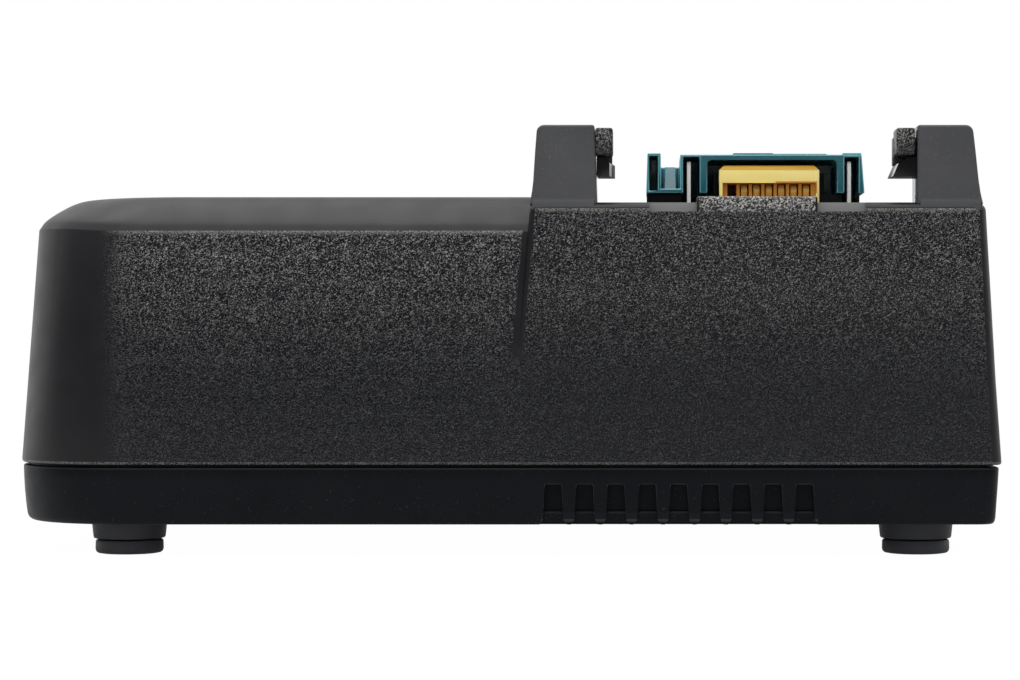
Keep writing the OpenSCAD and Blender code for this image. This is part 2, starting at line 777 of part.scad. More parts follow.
// Shutter over the contacts. x is measured from the contacts' middle, z from the deck.
module terminal_cover() {
    left = -cover_left;
    key_x0 = left + post_w;
    key_x1 = key_x0 + key_w;
    slot_x0 = key_x1 + thin_wall;
    slot_x1 = slot_x0 + slot_open;
    open_x0 = slot_x1 + pillar_w;
    open_x1 = cover_right - cover_wall - slot_open + 0.4 - pillar_w;
    slot2_x0 = open_x1 + pillar_w;
    slot2_x1 = cover_right - cover_wall;
    y1 = cover_d;
    color([0.06, 0.3, 0.34])
    translate([term_x, cover_y0, deck_z])
        difference() {
            union() {
                box(left, key_x0, 0, y1, cover_low, cover_top + 0.3);
                box(key_x0 - 0.1, key_x1 + 0.1, 0, y1, cover_low, cover_low + notch_floor_t);
                box(key_x0 - 0.1, key_x1 + 0.1, slot_depth, y1, cover_low, cover_low + notch_back_h);
                translate([key_x0 + ramp_set, 0, cover_low])
                    rotate([90, 0, 90])
                        linear_extrude(key_w - 2 * ramp_set)
                            polygon([
                                [slot_depth - ramp_l, 0], [slot_depth + 0.1, 0],
                                [slot_depth + 0.1, notch_back_h], [slot_depth, notch_back_h],
                                [slot_depth - ramp_l, notch_floor_t]
                            ]);
                box(key_x1, cover_right, 0, y1, cover_low, cover_top);
                box(slot2_x0, cover_right, 0, y1, cover_top - 0.1, cover_top + 0.35);
                box(open_x0 + 5, open_x0 + 13, 2, y1 - 2, cover_top - 0.1, cover_top + 0.3);
                box(open_x0 + 13, open_x1 - 2, 2, y1 - 2, cover_top - 0.1, cover_top + 0.15);
                for (x = [groove_left_x, groove_right_x])
                    box(x - term_x - lug_w / 2, x - term_x + lug_w / 2, lug_y0 - cover_y0,
                        lug_y0 - cover_y0 + lug_l, groove_z0 + slide_gap - deck_z, cover_low + 0.5);
            }
            box(left + thin_wall, key_x0 - thin_wall, -cut, 12, cover_low + 0.5, cover_top - 0.3);
            box(slot_x0, slot_x1, -cut, slot_depth, cover_low - cut, cover_top - 0.5);
            box(open_x0, open_x1, -cut, y1 - cover_back, cover_low - cut, cover_top - plate_t);
            box(slot2_x0, slot2_x1, -cut, slot_depth, cover_low - cut, cover_top - 0.3);
            for (x = [groove_left_x, groove_right_x])
                rod_y(x - term_x, slot_depth - 3, y1, rod_z - deck_z, rod_r + shaft_gap);
        }
}

module cover_guide_rods() {
    color([0.75, 0.75, 0.77])
    for (x = [groove_left_x, groove_right_x])
        rod_y(x, groove_y0 - rod_seat, base_y1 - rod_end_gap, rod_z, rod_r);
}

// Closed solid through rings of points, each with the same number of points
module sweep(rings) {
    n = len(rings) - 1;
    sides = len(rings[0]);
    polyhedron(
        points = [for (r = rings) for (p = r) p],
        faces = concat(
            [[for (j = [0 : sides - 1]) j]],
            [for (i = [0 : n - 1], j = [0 : sides - 1])
                [i * sides + j, (i + 1) * sides + j,
                    (i + 1) * sides + (j + 1) % sides, i * sides + (j + 1) % sides]],
            [[for (j = [sides - 1 : -1 : 0]) n * sides + j]]
        )
    );
}

// Coil spring along Y, round a guide rod
module coil_spring(x, y0, y1) {
    per_turn = 12;
    sides = 6;
    n = spring_turns * per_turn;
    rise = (y1 - y0 - 2 * spring_wire_r) / n;
    color([0.7, 0.7, 0.72])
    sweep([for (i = [0 : n]) [for (j = [0 : sides - 1])
        let (a = i * 360 / per_turn, b = j * 360 / sides, r = spring_r + spring_wire_r * cos(b))
            [x + r * cos(a), y0 + spring_wire_r + i * rise + spring_wire_r * sin(b), rod_z + r * sin(a)]]]);
}

module cover_spring_left() {
    coil_spring(groove_left_x, lug_y0 + lug_l, groove_y1);
}

module cover_spring_right() {
    coil_spring(groove_right_x, lug_y0 + lug_l, groove_y1);
}

// Upright power blade with its tail through the pedestal
module blade(side) {
    x0 = term_x + side * blade_pitch / 2 - blade_t / 2;
    color([0.8, 0.8, 0.8])
    union() {
        box(x0, x0 + blade_t, blade_y0, blade_y0 + blade_l, blade_seat_z, deck_z + cover_top - 1.3);
        box(x0, x0 + blade_t, tail_y0, tail_y0 + tail_l, base_z0 - tail_drop, blade_seat_z + 0.1);
    }
}

module blade_negative() {
    blade(-1);
}

module blade_positive() {
    blade(1);
}

// Yellow connector: a chamfered block with a comb of contact places in its mouth
module data_connector() {
    w = connector_w / 2;
    z0 = connector_seat_z;
    z1 = deck_z + connector_top;
    edge = 0.9;
    places = contact_n + 1;
    color([0.95, 0.72, 0.2])
    translate([term_x, cover_y0, 0])
        difference() {
            translate([0, connector_d, 0])
                rotate([90, 0, 0])
                    linear_extrude(connector_d)
                        polygon([
                            [-w, z0], [w, z0], [w, z1 - edge],
                            [w - edge, z1], [-w + edge, z1], [-w, z1 - edge]
                        ]);
            translate([-w - cut, 0, 0])
                rotate([90, 0, 90])
                    linear_extrude(2 * w + 2 * cut)
                        polygon([
                            [-cut, z1 - edge], [0, z1 - edge], [edge, z1], [edge, z1 + cut], [-cut, z1 + cut]
                        ]);
            box(-w + 0.7, w - 0.7, -cut, mouth_set, z0 + 0.7, z1 - mouth_drop);
            for (i = [0 : places - 1])
                box((i - (places - 1) / 2) * contact_pitch - place_w / 2,
                    (i - (places - 1) / 2) * contact_pitch + place_w / 2,
                    0, mouth_depth, z0 + 0.7, z1 - mouth_drop);
        }
}

module data_contacts() {
    places = contact_n + 1;
    color([0.85, 0.6, 0.2])
    for (i = [1 : places - 1])
        translate([term_x + (i - (places - 1) / 2) * contact_pitch, cover_y0, 0])
            box(-contact_w / 2, contact_w / 2, mouth_set + 0.6, mouth_depth,
                connector_seat_z + 0.7, connector_seat_z + 0.7 + contact_high);
}

// ---- Cooling ----

module outlet_grille() {
    n = 9;
    x0 = bay_x - grille_w / 2;
    step = (grille_w - 2 * grille_rim) / n;
    color([0.12, 0.12, 0.125])
    difference() {
        box(x0, x0 + grille_w, grille_y0, grille_y1, deck_z - grille_t, deck_z);
        for (i = [0 : n - 1])
            box(x0 + grille_rim + (i + 0.2) * step, x0 + grille_rim + (i + 0.8) * step,
                grille_y0 + grille_rim, grille_y1 - grille_rim, deck_z - grille_t - cut, deck_z + cut);
    }
}

// Duct that narrows from the square fan to the outlet in the deck
module air_duct() {
    color([0.3, 0.3, 0.32])
    difference() {
        union() {
            duct_space(duct_wall, 0);
            box(fan_x - fan_size / 2, fan_x + fan_size / 2, fan_y - fan_size / 2, fan_y + fan_size / 2,
                fan_z1, fan_z1 + 2);
            at(fan_hole_xy)
                translate([0, 0, fan_z1])
                    cylinder(r = 3, h = 7);
        }
        duct_space(0, cut);
        at(fan_hole_xy)
            translate([0, 0, fan_z1 - cut])
                cylinder(r = fan_screw_r + 0.05, h = 6);
    }
}

// Inside of the duct, grown by t at its sides and by e at its ends
module duct_space(t, e) {
    hull() {
        translate([fan_x, fan_y, fan_z1 - e])
            cylinder(r = fan_bore_r - duct_wall + t, h = 1, $fn = 64);
        box(bay_x - grille_w / 2 + grille_rim - t, bay_x + grille_w / 2 - grille_rim + t,
            grille_y0 + grille_rim - t, grille_y1 - grille_rim + t, ceiling_z - 0.5, ceiling_z + e);
    }
}

module fan_frame() {
    h = fan_size / 2;
    color([0.1, 0.1, 0.11])
    translate([fan_x, fan_y, fan_z0])
        union() {
            difference() {
                box(-h, h, -h, h, 0, fan_t);
                translate([0, 0, -cut])
                    cylinder(r = fan_bore_r, h = fan_t + 2 * cut);
                for (x = [-1, 1], y = [-1, 1])
                    translate([x * fan_hole, y * fan_hole, -cut])
                        cylinder(r = fan_screw_r + 0.15, h = fan_t + 2 * cut);
            }
            cylinder(r = fan_hub_r, h = 1.6);
            for (a = [45 : 90 : 315])
                rotate([0, 0, a])
                    box(fan_hub_r - 1, fan_bore_r + 0.6, -1.2, 1.2, 0, 1.6);
        }
}

// Windings round the sleeve in which the rotor's spindle turns
module fan_stator() {
    color([0.7, 0.4, 0.15])
    translate([fan_x, fan_y, fan_z0 + 1.6])
        difference() {
            union() {
                cylinder(r = 3, h = 9);
                translate([0, 0, 1.5])
                    cylinder(r = fan_hub_r - 3.2, h = 6);
            }
            translate([0, 0, 1])
                cylinder(r = spindle_r + shaft_gap, h = 9);
        }
}

module fan_rotor() {
    top = fan_t - 1.6;
    bottom = 2.4;
    color([0.08, 0.08, 0.09])
    translate([fan_x, fan_y, fan_z0])
        union() {
            difference() {
                translate([0, 0, bottom])
                    cylinder(r = fan_hub_r, h = top - bottom);
                translate([0, 0, bottom - cut])
                    cylinder(r = fan_hub_r - 1.6, h = top - 1.6 - bottom + cut);
            }
            translate([0, 0, 3.4])
                cylinder(r = spindle_r, h = top - 4);
            intersection() {
                translate([0, 0, bottom + 0.3])
                    cylinder(r = fan_bore_r - fan_tip_gap, h = top - bottom - 0.6);
                union()
                    for (i = [0 : fan_blades - 1])
                        rotate([0, 0, i * 360 / fan_blades])
                            translate([fan_hub_r - 0.6, 0, (top + bottom) / 2])
                                rotate([38, 0, 0])
                                    translate([0, -fan_size / 5, -0.5])
                                        cube([fan_size / 2, fan_size / 2.5, 1]);
            }
        }
}

module fan_screws() {
    color([0.7, 0.7, 0.72])
    at(fan_hole_xy)
        translate([0, 0, fan_z0 - 1.6])
            union() {
                cylinder(r = 2.6, h = 1.6);
                cylinder(r = fan_screw_r, h = fan_t + 6);
            }
}

// ---- Electronics ----

module main_board() {
    color([0.1, 0.35, 0.2])
    difference() {
        box(board_x0, board_x1, board_y0, board_y1, board_z0, board_z1);
        for (p = case_screws_at)
            translate([p[0], p[1], board_z0 - cut])
                cylinder(r = boss_r + 0.8, h = board_t + 2 * cut);
        at(board_screw_xy)
            translate([0, 0, board_z0 - cut])
                cylinder(r = screw_r + seat_gap, h = board_t + 2 * cut);
    }
}

// Ferrite frame with a middle leg, standing on the board
module transformer_core() {
    w = core_w;
    h = core_h;
    leg = core_leg;
    color([0.2, 0.2, 0.22])
    translate([transformer_xy[0], transformer_xy[1], board_z1])
        difference() {
            box(-w / 2, w / 2, -core_d / 2, core_d / 2, 0, h);
            for (side = [-1, 1])
                box(side < 0 ? -w / 2 + leg : leg, side < 0 ? -leg : w / 2 - leg,
                    -core_d / 2 - cut, core_d / 2 + cut, leg, h - leg);
        }
}

module transformer_coil() {
    h = core_h - 2 * core_leg - 2 * coil_gap;
    hole = core_leg + 0.1;
    color([0.85, 0.65, 0.15])
    translate([transformer_xy[0], transformer_xy[1], board_z1 + core_leg + coil_gap])
        difference() {
            union() {
                for (side = [-1, 1])
                    translate([0, side * (core_d / 2 - 2), 0])
                        intersection() {
                            cylinder(r = coil_r, h = h);
                            box(-coil_r, coil_r, side < 0 ? -12 : 0, side < 0 ? 0 : 12, 0, h);
                        }
                box(-coil_r, coil_r, -core_d / 2 + 2, core_d / 2 - 2, 0, h);
            }
            box(-hole, hole, -core_d / 2 - 0.1, core_d / 2 + 0.1, -cut, h + cut);
        }
}

module bulk_capacitors() {
    color([0.12, 0.14, 0.3])
    at(bulk_xy)
        translate([0, 0, board_z1])
            cylinder(r = bulk_r, h = bulk_h);
}

module output_capacitors() {
    color([0.15, 0.2, 0.35])
    at(output_xy)
        translate([0, 0, board_z1])
            cylinder(r = output_r, h = output_h);
}

// Upright aluminium plate with fins, along Y
module heatsink(x, side) {
    fins = 6;
    color([0.72, 0.73, 0.75])
    translate([x, 0, board_z1])
        union() {
            box(-1.25, 1.25, -sink_l / 2, sink_l / 2, 0, sink_h);
            for (i = [0 : fins - 1])
                translate([0, -sink_l / 2 + 1 + i * (sink_l - 2) / (fins - 1), 0])
                    box(side < 0 ? -7 : 0, side < 0 ? 0 : 7, -0.8, 0.8, 0, sink_h);
        }
}

module heatsink_primary() {
    heatsink(sink_a_x, -1);
}

module heatsink_secondary() {
    heatsink(sink_b_x, 1);
}

// Flat packages clamped to the heat sinks
module power_transistors() {
    color([0.1, 0.1, 0.1])
    for (y = [-1, 1], s = [[sink_a_x + 1.25, 1], [sink_b_x - 1.25, -1]])
        translate([s[0], y * sink_l / 4, board_z1])
            union() {
                box(s[1] < 0 ? -4.5 : 0, s[1] < 0 ? 0 : 4.5, -5, 5, 6, 21);
                for (i = [-1 : 1])
                    box(s[1] < 0 ? -2.6 : 2, s[1] < 0 ? -2 : 2.6, i * 2.5 - 0.4, i * 2.5 + 0.4, 0, 6.2);
            }
}

module line_choke() {
    color([0.6, 0.3, 0.1])
    translate([choke_xy[0], choke_xy[1], board_z1])
        union() {
            translate([0, 0, 5])
                rotate_extrude()
                    translate([7.5, 0])
                        circle(r = 4);
            cylinder(r = 11, h = 1.4);
        }
}

module input_fuse() {
    z = board_z1 + 5;
    color([0.8, 0.8, 0.75])
    translate([fuse_xy[0], fuse_xy[1], 0])
        union() {
            rod_y(0, -10, 10, z, 2.4);
            for (y = [-1, 1])
                rod_y(0, y * 7.5 - 2.5, y * 7.5 + 2.5, z, 2.7);
            for (y = [-1, 1])
                box(-2.4, 2.4, y * 7.5 - 1.5, y * 7.5 + 1.5, board_z1, z - 1.5);
        }
}

module output_relay() {
    color([0.12, 0.3, 0.55])
    translate([relay_xy[0], relay_xy[1], 0])
        box(-relay_w / 2, relay_w / 2, -relay_d / 2, relay_d / 2, board_z1, board_z1 + relay_h);
}

// Two-way screw terminal on which the mains cord's conductors land
module mains_terminal() {
    color([0.2, 0.45, 0.25])
    translate([mains_xy[0], mains_xy[1], board_z1])
        difference() {
            box(-6, 6, -5, 5, 0, 11);
            for (x = [-3, 3])
                rod_y(x, -cut, 5 + cut, 4, 1.7);
            for (x = [-3, 3])
                translate([x, -1, 7])
                    cylinder(r = 1.8, h = 5);
        }
}

// Heavy lead in an upright plane: up from the board, forwards, and up to a blade's tail.
// A place on its path is [y, z, heading in degrees].
module blade_lead(side) {
    x = term_x + side * blade_pitch / 2;
    y0 = output_xy[0][1] - output_r - lead_set + side * lead_step;
    y1 = tail_y0 + tail_l / 2;
    z = base_z0 - lead_drop;
    path = concat(
        [[y0, board_z1, 90]],
        [for (t = [0 : 22.5 : 90]) [y0 - lead_bend * (1 - cos(t)), z - lead_bend * (1 - sin(t)), 90 + t]],
        [for (t = [0 : 22.5 : 90]) [y1 + lead_bend * (1 - sin(t)), z + lead_bend * (1 - cos(t)), 180 - t]],
        [[y1, base_z0 - tail_drop, 90]]
    );
    sweep([for (p = path) [for (b = [0 : 45 : 315])
        [x + lead_r * cos(b), p[0] - lead_r * sin(b) * sin(p[2]), p[1] + lead_r * sin(b) * cos(p[2])]]]);
}

module lead_negative() {
    color([0.08, 0.08, 0.08])
    blade_lead(-1);
}

module lead_positive() {
    color([0.7, 0.08, 0.08])
    blade_lead(1);
}

// ---- Charge lights ----

module led_board() {
    color([0.1, 0.35, 0.2])
    difference() {
        box(lens_x - led_board_w / 2, lens_x + led_board_w / 2,
            lens_y - led_board_d / 2, lens_y + led_board_d / 2,
            led_board_z0, led_board_z1);
        at(led_screw_xy)
            translate([0, 0, led_board_z0 - cut])
                cylinder(r = screw_r + seat_gap, h = led_board_t + 2 * cut);
    }
}

module indicator_leds() {
    color([0.9, 0.9, 0.85])
    at(led_xy)
        translate([0, 0, led_board_z1])
            union() {
                cylinder(r = 1.5, h = 3);
                translate([0, 0, 3])
                    sphere(r = 1.5);
            }
}

// Clear strip flush with the top, with a light pipe down to each lamp
module indicator_lens() {
    color([0.85, 0.88, 0.88, 0.6])
    union() {
        box(lens_x - lens_w / 2, lens_x + lens_w / 2, lens_y - lens_d / 2, lens_y + lens_d / 2,
            lens_z1 - lens_t, lens_z1);
        at(led_xy)
            translate([0, 0, led_board_z1 + 4.8])
                cylinder(r = 1.7, h = lens_z1 - lens_t - led_board_z1 - 4.7);
    }
}

module buzzer() {
    color([0.1, 0.1, 0.1])
    translate([lens_x, lens_y, led_board_z0 - buzzer_h])
        difference() {
            cylinder(r = buzzer_r, h = buzzer_h);
            translate([0, 0, -cut])
                cylinder(r = 1, h = 3);
        }
}

// ---- Cord outlet, feet and fasteners ----

module cord_bushing() {
    color([0.1, 0.1, 0.1])
    difference() {
        union() {
            rod_y(bushing_x, bushing_y1 - bushing_l, bushing_y1 - 1, bushing_axis_z, bushing_dia / 2);
            rod_y(bushing_x, bushing_y1 - 2, bushing_y1, bushing_axis_z, bushing_flange_r);
        }
        rod_y(bushing_x, bushing_y1 - bushing_l - cut, bushing_y1 + cut, bushing_axis_z, cord_bore / 2);
    }
}

// Rubber foot with a stub that is pressed up into its boss
module foot(x, y) {
    r = foot_dia / 2;
    color([0.17, 0.17, 0.18])
    translate([x, y, 0])
        rotate_extrude()
            polygon([
                [0, 0], [r - 1.5, 0], [r - 0.7, 0.15], [r - 0.25, 0.42], [r, 0.85], [r, foot_h - 0.35],
                [r - 0.45, foot_h], [foot_stub_r - 0.02, foot_h],
                [foot_stub_r - 0.02, foot_h + foot_stub_h - 0.1],
                [0, foot_h + foot_stub_h - 0.1]
            ]);
}

module foot_front_left() {
    foot(foot_x[0], foot_y[0]);
}

module foot_front_right() {
    foot(foot_x[1], foot_y[0]);
}

module foot_rear_left() {
    foot(foot_x[0], foot_y[1]);
}

module foot_rear_right() {
    foot(foot_x[1], foot_y[1]);
}

module case_screws() {
    color([0.65, 0.65, 0.67])
    for (p = case_screws_at)
        translate([p[0], p[1], 0])
            screw(case_z + head_seat_h - screw_head_h, case_screw_l);
}

// Screws with their heads up, into the posts of the lower case
module board_screws() {
    color([0.65, 0.65, 0.67])
    at(board_screw_xy)
        translate([0, 0, board_z1 + screw_head_h])
            mirror([0, 0, 1])
                screw(0, board_t + 4);
}

module base_screws() {
    color([0.65, 0.65, 0.67])
    at(base_screw_xy)
        translate([0, 0, ceiling_z - flange_t - 1.4])
            union() {
                cylinder(r = 1.9, h = 1.4);
                cylinder(r = base_screw_r - 0.03, h = 1.4 + flange_t + 1.8);
            }
}

module led_screws() {
    color([0.65, 0.65, 0.67])
    at(led_screw_xy)
        translate([0, 0, led_board_z0 - 1.4])
            union() {
                cylinder(r = 2.3, h = 1.4);
                cylinder(r = screw_r, h = 1.4 + led_board_t + 4.5);
            }
}

lower_case();
upper_case();
rail_left();
rail_right();
hook_left();
hook_right();
duct_cap();
terminal_base();
terminal_cover();
cover_guide_rods();
cover_spring_left();
cover_spring_right();
blade_negative();
blade_positive();
data_connector();
data_contacts();
outlet_grille();
air_duct();
fan_frame();
fan_stator();
fan_rotor();
fan_screws();
main_board();
transformer_core();
transformer_coil();
bulk_capacitors();
output_capacitors();
heatsink_primary();
heatsink_secondary();
power_transistors();
line_choke();
input_fuse();
output_relay();
mains_terminal();
lead_negative();
lead_positive();
led_board();
indicator_leds();
indicator_lens();
buzzer();
cord_bushing();
foot_front_left();
foot_front_right();
foot_rear_left();
foot_rear_right();
case_screws();
board_screws();
base_screws();
led_screws();
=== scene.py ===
import math

import bmesh
import bpy
from mathutils import Matrix, Vector


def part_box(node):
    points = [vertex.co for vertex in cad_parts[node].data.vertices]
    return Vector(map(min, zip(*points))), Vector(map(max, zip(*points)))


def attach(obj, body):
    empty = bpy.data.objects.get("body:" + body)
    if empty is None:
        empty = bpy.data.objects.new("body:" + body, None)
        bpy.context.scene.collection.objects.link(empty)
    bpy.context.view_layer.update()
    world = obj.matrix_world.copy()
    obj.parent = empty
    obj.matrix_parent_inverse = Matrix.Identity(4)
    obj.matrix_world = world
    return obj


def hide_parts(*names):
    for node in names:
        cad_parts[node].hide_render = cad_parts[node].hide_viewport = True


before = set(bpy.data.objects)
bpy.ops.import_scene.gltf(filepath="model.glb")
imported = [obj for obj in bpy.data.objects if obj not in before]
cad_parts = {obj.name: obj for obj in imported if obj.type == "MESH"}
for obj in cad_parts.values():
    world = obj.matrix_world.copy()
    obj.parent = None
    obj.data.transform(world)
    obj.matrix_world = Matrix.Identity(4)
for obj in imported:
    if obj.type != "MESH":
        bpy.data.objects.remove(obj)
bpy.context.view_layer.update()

# Working unit for shapes is the millimetre; a piece becomes metres when it is finished.
toMetres = 0.001

stand = {"left": -95.0, "right": 95.0, "front": -75.0, "rear": 75.0}
contactRow = {"middle": 52.59, "pitch": 2.54, "places": 7}
weldAt = 0.0005

print("frame loaded")


# Camera
def placeCamera():
    shot = {"at": (0.02818, -0.595, 0.0413), "lens": 97.1, "sensor": 36.0, "shift": -0.1373, "nearest": 0.01}
    data = bpy.data.cameras.new("benchCamera")
    data.lens = shot["lens"]
    data.sensor_width = shot["sensor"]
    data.shift_x = shot["shift"]
    data.clip_start = shot["nearest"]
    camera = bpy.data.objects.new("benchCamera", data)
    camera.location = shot["at"]
    camera.rotation_euler = (math.pi / 2, 0, 0)
    bpy.context.scene.collection.objects.link(camera)
    bpy.context.scene.camera = camera


placeCamera()
print("camera placed")


# Shaping helpers
def cornersNear(verts, x=None, y=None, z=None, slack=0.02):
    found = []
    for v in verts:
        if x is not None and abs(v.co.x - x) > slack:
            continue
        if y is not None and abs(v.co.y - y) > slack:
            continue
        if z is not None and abs(v.co.z - z) > slack:
            continue
        found.append(v)
    return found


def edgesBetween(bm, verts):
    chosen = set(verts)
    return [e for e in bm.edges if e.verts[0] in chosen and e.verts[1] in chosen]


def roundCorners(bm, verts, radius, steps):
    if radius > 0 and verts:
        bmesh.ops.bevel(bm, geom=verts, offset=radius, offset_type="OFFSET", segments=steps,
                        profile=0.5, affect="VERTICES", material=-1)


def softenEdges(bm, edges, width, steps=3, clamp=True):
    bmesh.ops.bevel(bm, geom=list(edges), offset=width, offset_type="OFFSET", segments=steps,
                    profile=0.5, affect="EDGES", material=-1, clamp_overlap=clamp)


def vertsOf(parts):
    return [part for part in parts if isinstance(part, bmesh.types.BMVert)]


# Lays a shape that was made upright down along Y.
def layDown(bm):
    bmesh.ops.rotate(bm, cent=(0, 0, 0), matrix=Matrix.Rotation(-math.pi / 2, 3, "X"), verts=bm.verts)


def block(low, high):
    bm = bmesh.new()
    bmesh.ops.create_cube(bm, size=1.0)
    size = [high[i] - low[i] for i in range(3)]
    centre = [(high[i] + low[i]) / 2 for i in range(3)]
    bmesh.ops.scale(bm, vec=size, verts=bm.verts)
    bmesh.ops.translate(bm, vec=centre, verts=bm.verts)
    return bm


def softBlock(low, high, width, steps=3):
    bm = block(low, high)
    softenEdges(bm, bm.edges, width, steps)
    return bm


# A stack of rounded outlines: each level moves the left, right and front/rear sides inwards.
def raisedBody(outline, levels):
    first = levels[0]
    x0, x1 = outline["x0"] + first[1], outline["x1"] - first[2]
    y0, y1 = outline["y0"] + first[3], outline["y1"] - first[3]
    bm = bmesh.new()
    bmesh.ops.create_grid(bm, x_segments=1, y_segments=1, size=0.5)
    bmesh.ops.scale(bm, vec=(x1 - x0, y1 - y0, 1), verts=bm.verts)
    bmesh.ops.translate(bm, vec=((x0 + x1) / 2, (y0 + y1) / 2, levels[0][0]), verts=bm.verts)
    steps = outline.get("steps", 12)
    roundCorners(bm, cornersNear(bm.verts, x=x0), outline["leftRadius"], steps)
    rightSteps = outline.get("rightSteps", 6)
    roundCorners(bm, cornersNear(bm.verts, x=x1), outline["rightRadius"], rightSteps)
    midX, midY = (x0 + x1) / 2, (y0 + y1) / 2
    top = bm.faces[:]
    last = first
    for level in levels[1:]:
        grown = bmesh.ops.extrude_face_region(bm, geom=top)["geom"]
        if last is not first:
            bmesh.ops.delete(bm, geom=top, context="FACES_ONLY")
        verts = vertsOf(grown)
        top = [g for g in grown if isinstance(g, bmesh.types.BMFace)]
        rise, left, right, ends = [level[i] - last[i] for i in range(4)]
        for side, shift in ((lambda v: v.co.x < midX, left), (lambda v: v.co.x >= midX, -right)):
            bmesh.ops.translate(bm, vec=(shift, 0, rise), verts=[v for v in verts if side(v)])
        for side, shift in ((lambda v: v.co.y < midY, ends), (lambda v: v.co.y >= midY, -ends)):
            bmesh.ops.translate(bm, vec=(0, shift, 0), verts=[v for v in verts if side(v)])
        last = level
    bmesh.ops.recalc_face_normals(bm, faces=bm.faces)
    return bm


# Fills in levels between the given ones along a smooth curve.
def smoothLevels(points, parts):
    made = []
    last = len(points) - 1
    for i in range(last):
        before, start, end, after = [points[min(max(i + k, 0), last)] for k in (-1, 0, 1, 2)]
        for part in range(parts):
            t = part / parts
            made.append(tuple(
                0.5 * (2 * b + (c - a) * t + (2 * a - 5 * b + 4 * c - d) * t ** 2
                       + (3 * b - a - 3 * c + d) * t ** 3)
                for a, b, c, d in zip(before, start, end, after)))
    made.append(tuple(points[-1]))
    return made


# A flat outline pushed along one axis. The corners are given in the other two axes, in order.
def pushed(corners, low, high, along="Y", radii=None, steps=3):
    place = {"X": lambda a, b, c: (c, a, b), "Y": lambda a, b, c: (a, c, b),
             "Z": lambda a, b, c: (a, b, c)}[along]
    bm = bmesh.new()
    ring = [bm.verts.new(place(a, b, low)) for a, b in corners]
    bm.faces.new(ring)
    for corner, radius in zip(corners, radii or []):
        spot = Vector(place(corner[0], corner[1], low))
        roundCorners(bm, [v for v in bm.verts if (v.co - spot).length < 1e-4], radius, steps)
    grown = bmesh.ops.extrude_face_region(bm, geom=bm.faces[:])["geom"]
    bmesh.ops.translate(bm, vec=place(0, 0, high - low), verts=vertsOf(grown))
    bmesh.ops.recalc_face_normals(bm, faces=bm.faces)
    return bm


# Softens the edges round one end of a pushed shape.
def softenEnd(bm, axis, at, width, steps=3):
    ring = [v for v in bm.verts if abs(v.co["XYZ".index(axis)] - at) < 1e-3]
    softenEdges(bm, edgesBetween(bm, ring), width, steps)


# Turns an outline of (radius, height) points into a closed ring or disc.
def turned(profile, centre, along="Z", steps=48, closed=False):
    bm = bmesh.new()
    verts = [bm.verts.new((radius, 0, height)) for radius, height in profile]
    pairs = list(zip(verts, verts[1:]))
    if closed:
        pairs.append((verts[-1], verts[0]))
    edges = [bm.edges.new(pair) for pair in pairs]
    bmesh.ops.spin(bm, geom=verts + edges, cent=(0, 0, 0), axis=(0, 0, 1), angle=2 * math.pi, steps=steps,
                   use_merge=True, use_duplicate=False)
    bmesh.ops.remove_doubles(bm, verts=bm.verts, dist=weldAt)
    if along == "Y":
        layDown(bm)
    bmesh.ops.translate(bm, vec=centre, verts=bm.verts)
    bmesh.ops.recalc_face_normals(bm, faces=bm.faces)
    return bm


def cylinder(radius, low, high, centre, along="Z", sides=48):
    bm = bmesh.new()
    bmesh.ops.create_cone(bm, cap_ends=True, cap_tris=False, segments=sides,
                          radius1=radius, radius2=radius, depth=high - low)
    bmesh.ops.translate(bm, vec=(0, 0, (low + high) / 2), verts=bm.verts)
    if along == "Y":
        layDown(bm)
    bmesh.ops.translate(bm, vec=centre, verts=bm.verts)
    return bm


def asObject(name, bm):
    mesh = bpy.data.meshes.new(name)
    bm.to_mesh(mesh)
    bm.free()
    thing = bpy.data.objects.new(name, mesh)
    bpy.context.scene.collection.objects.link(thing)
    return thing


# Joins or cuts one shape with others, and keeps only the result.
def combine(thing, others, action):
    for bm in others:
        tool = asObject("tool", bm)
        modifier = thing.modifiers.new("join", "BOOLEAN")
        modifier.object = tool
        modifier.operation = action
        modifier.solver = "EXACT"
        graph = bpy.context.evaluated_depsgraph_get()
        made = bpy.data.meshes.new_from_object(thing.evaluated_get(graph))
        thing.modifiers.clear()
        old = thing.data
        thing.data = made
        bpy.data.meshes.remove(old)
        toolMesh = tool.data
        bpy.data.objects.remove(tool)
        bpy.data.meshes.remove(toolMesh)


# Rounds every edge of a finished shape that is sharper than the given angle.
def roundSharpEdges(thing, width, steps, angle, clamp=True):
    bm = bmesh.new()
    bm.from_mesh(thing.data)
    bmesh.ops.remove_doubles(bm, verts=bm.verts, dist=2 * weldAt)
    bmesh.ops.dissolve_limit(bm, angle_limit=math.radians(1), verts=bm.verts, edges=bm.edges)
    limit = math.radians(angle)
    shortest = 2.2 * width  # on a shorter edge the roundings at its two ends would cross
    sharp = [e for e in bm.edges
             if len(e.link_faces) == 2 and e.calc_face_angle() > limit and e.calc_length() > shortest]
    softenEdges(bm, sharp, width, steps, clamp)
    bm.to_mesh(thing.data)
    bm.free()


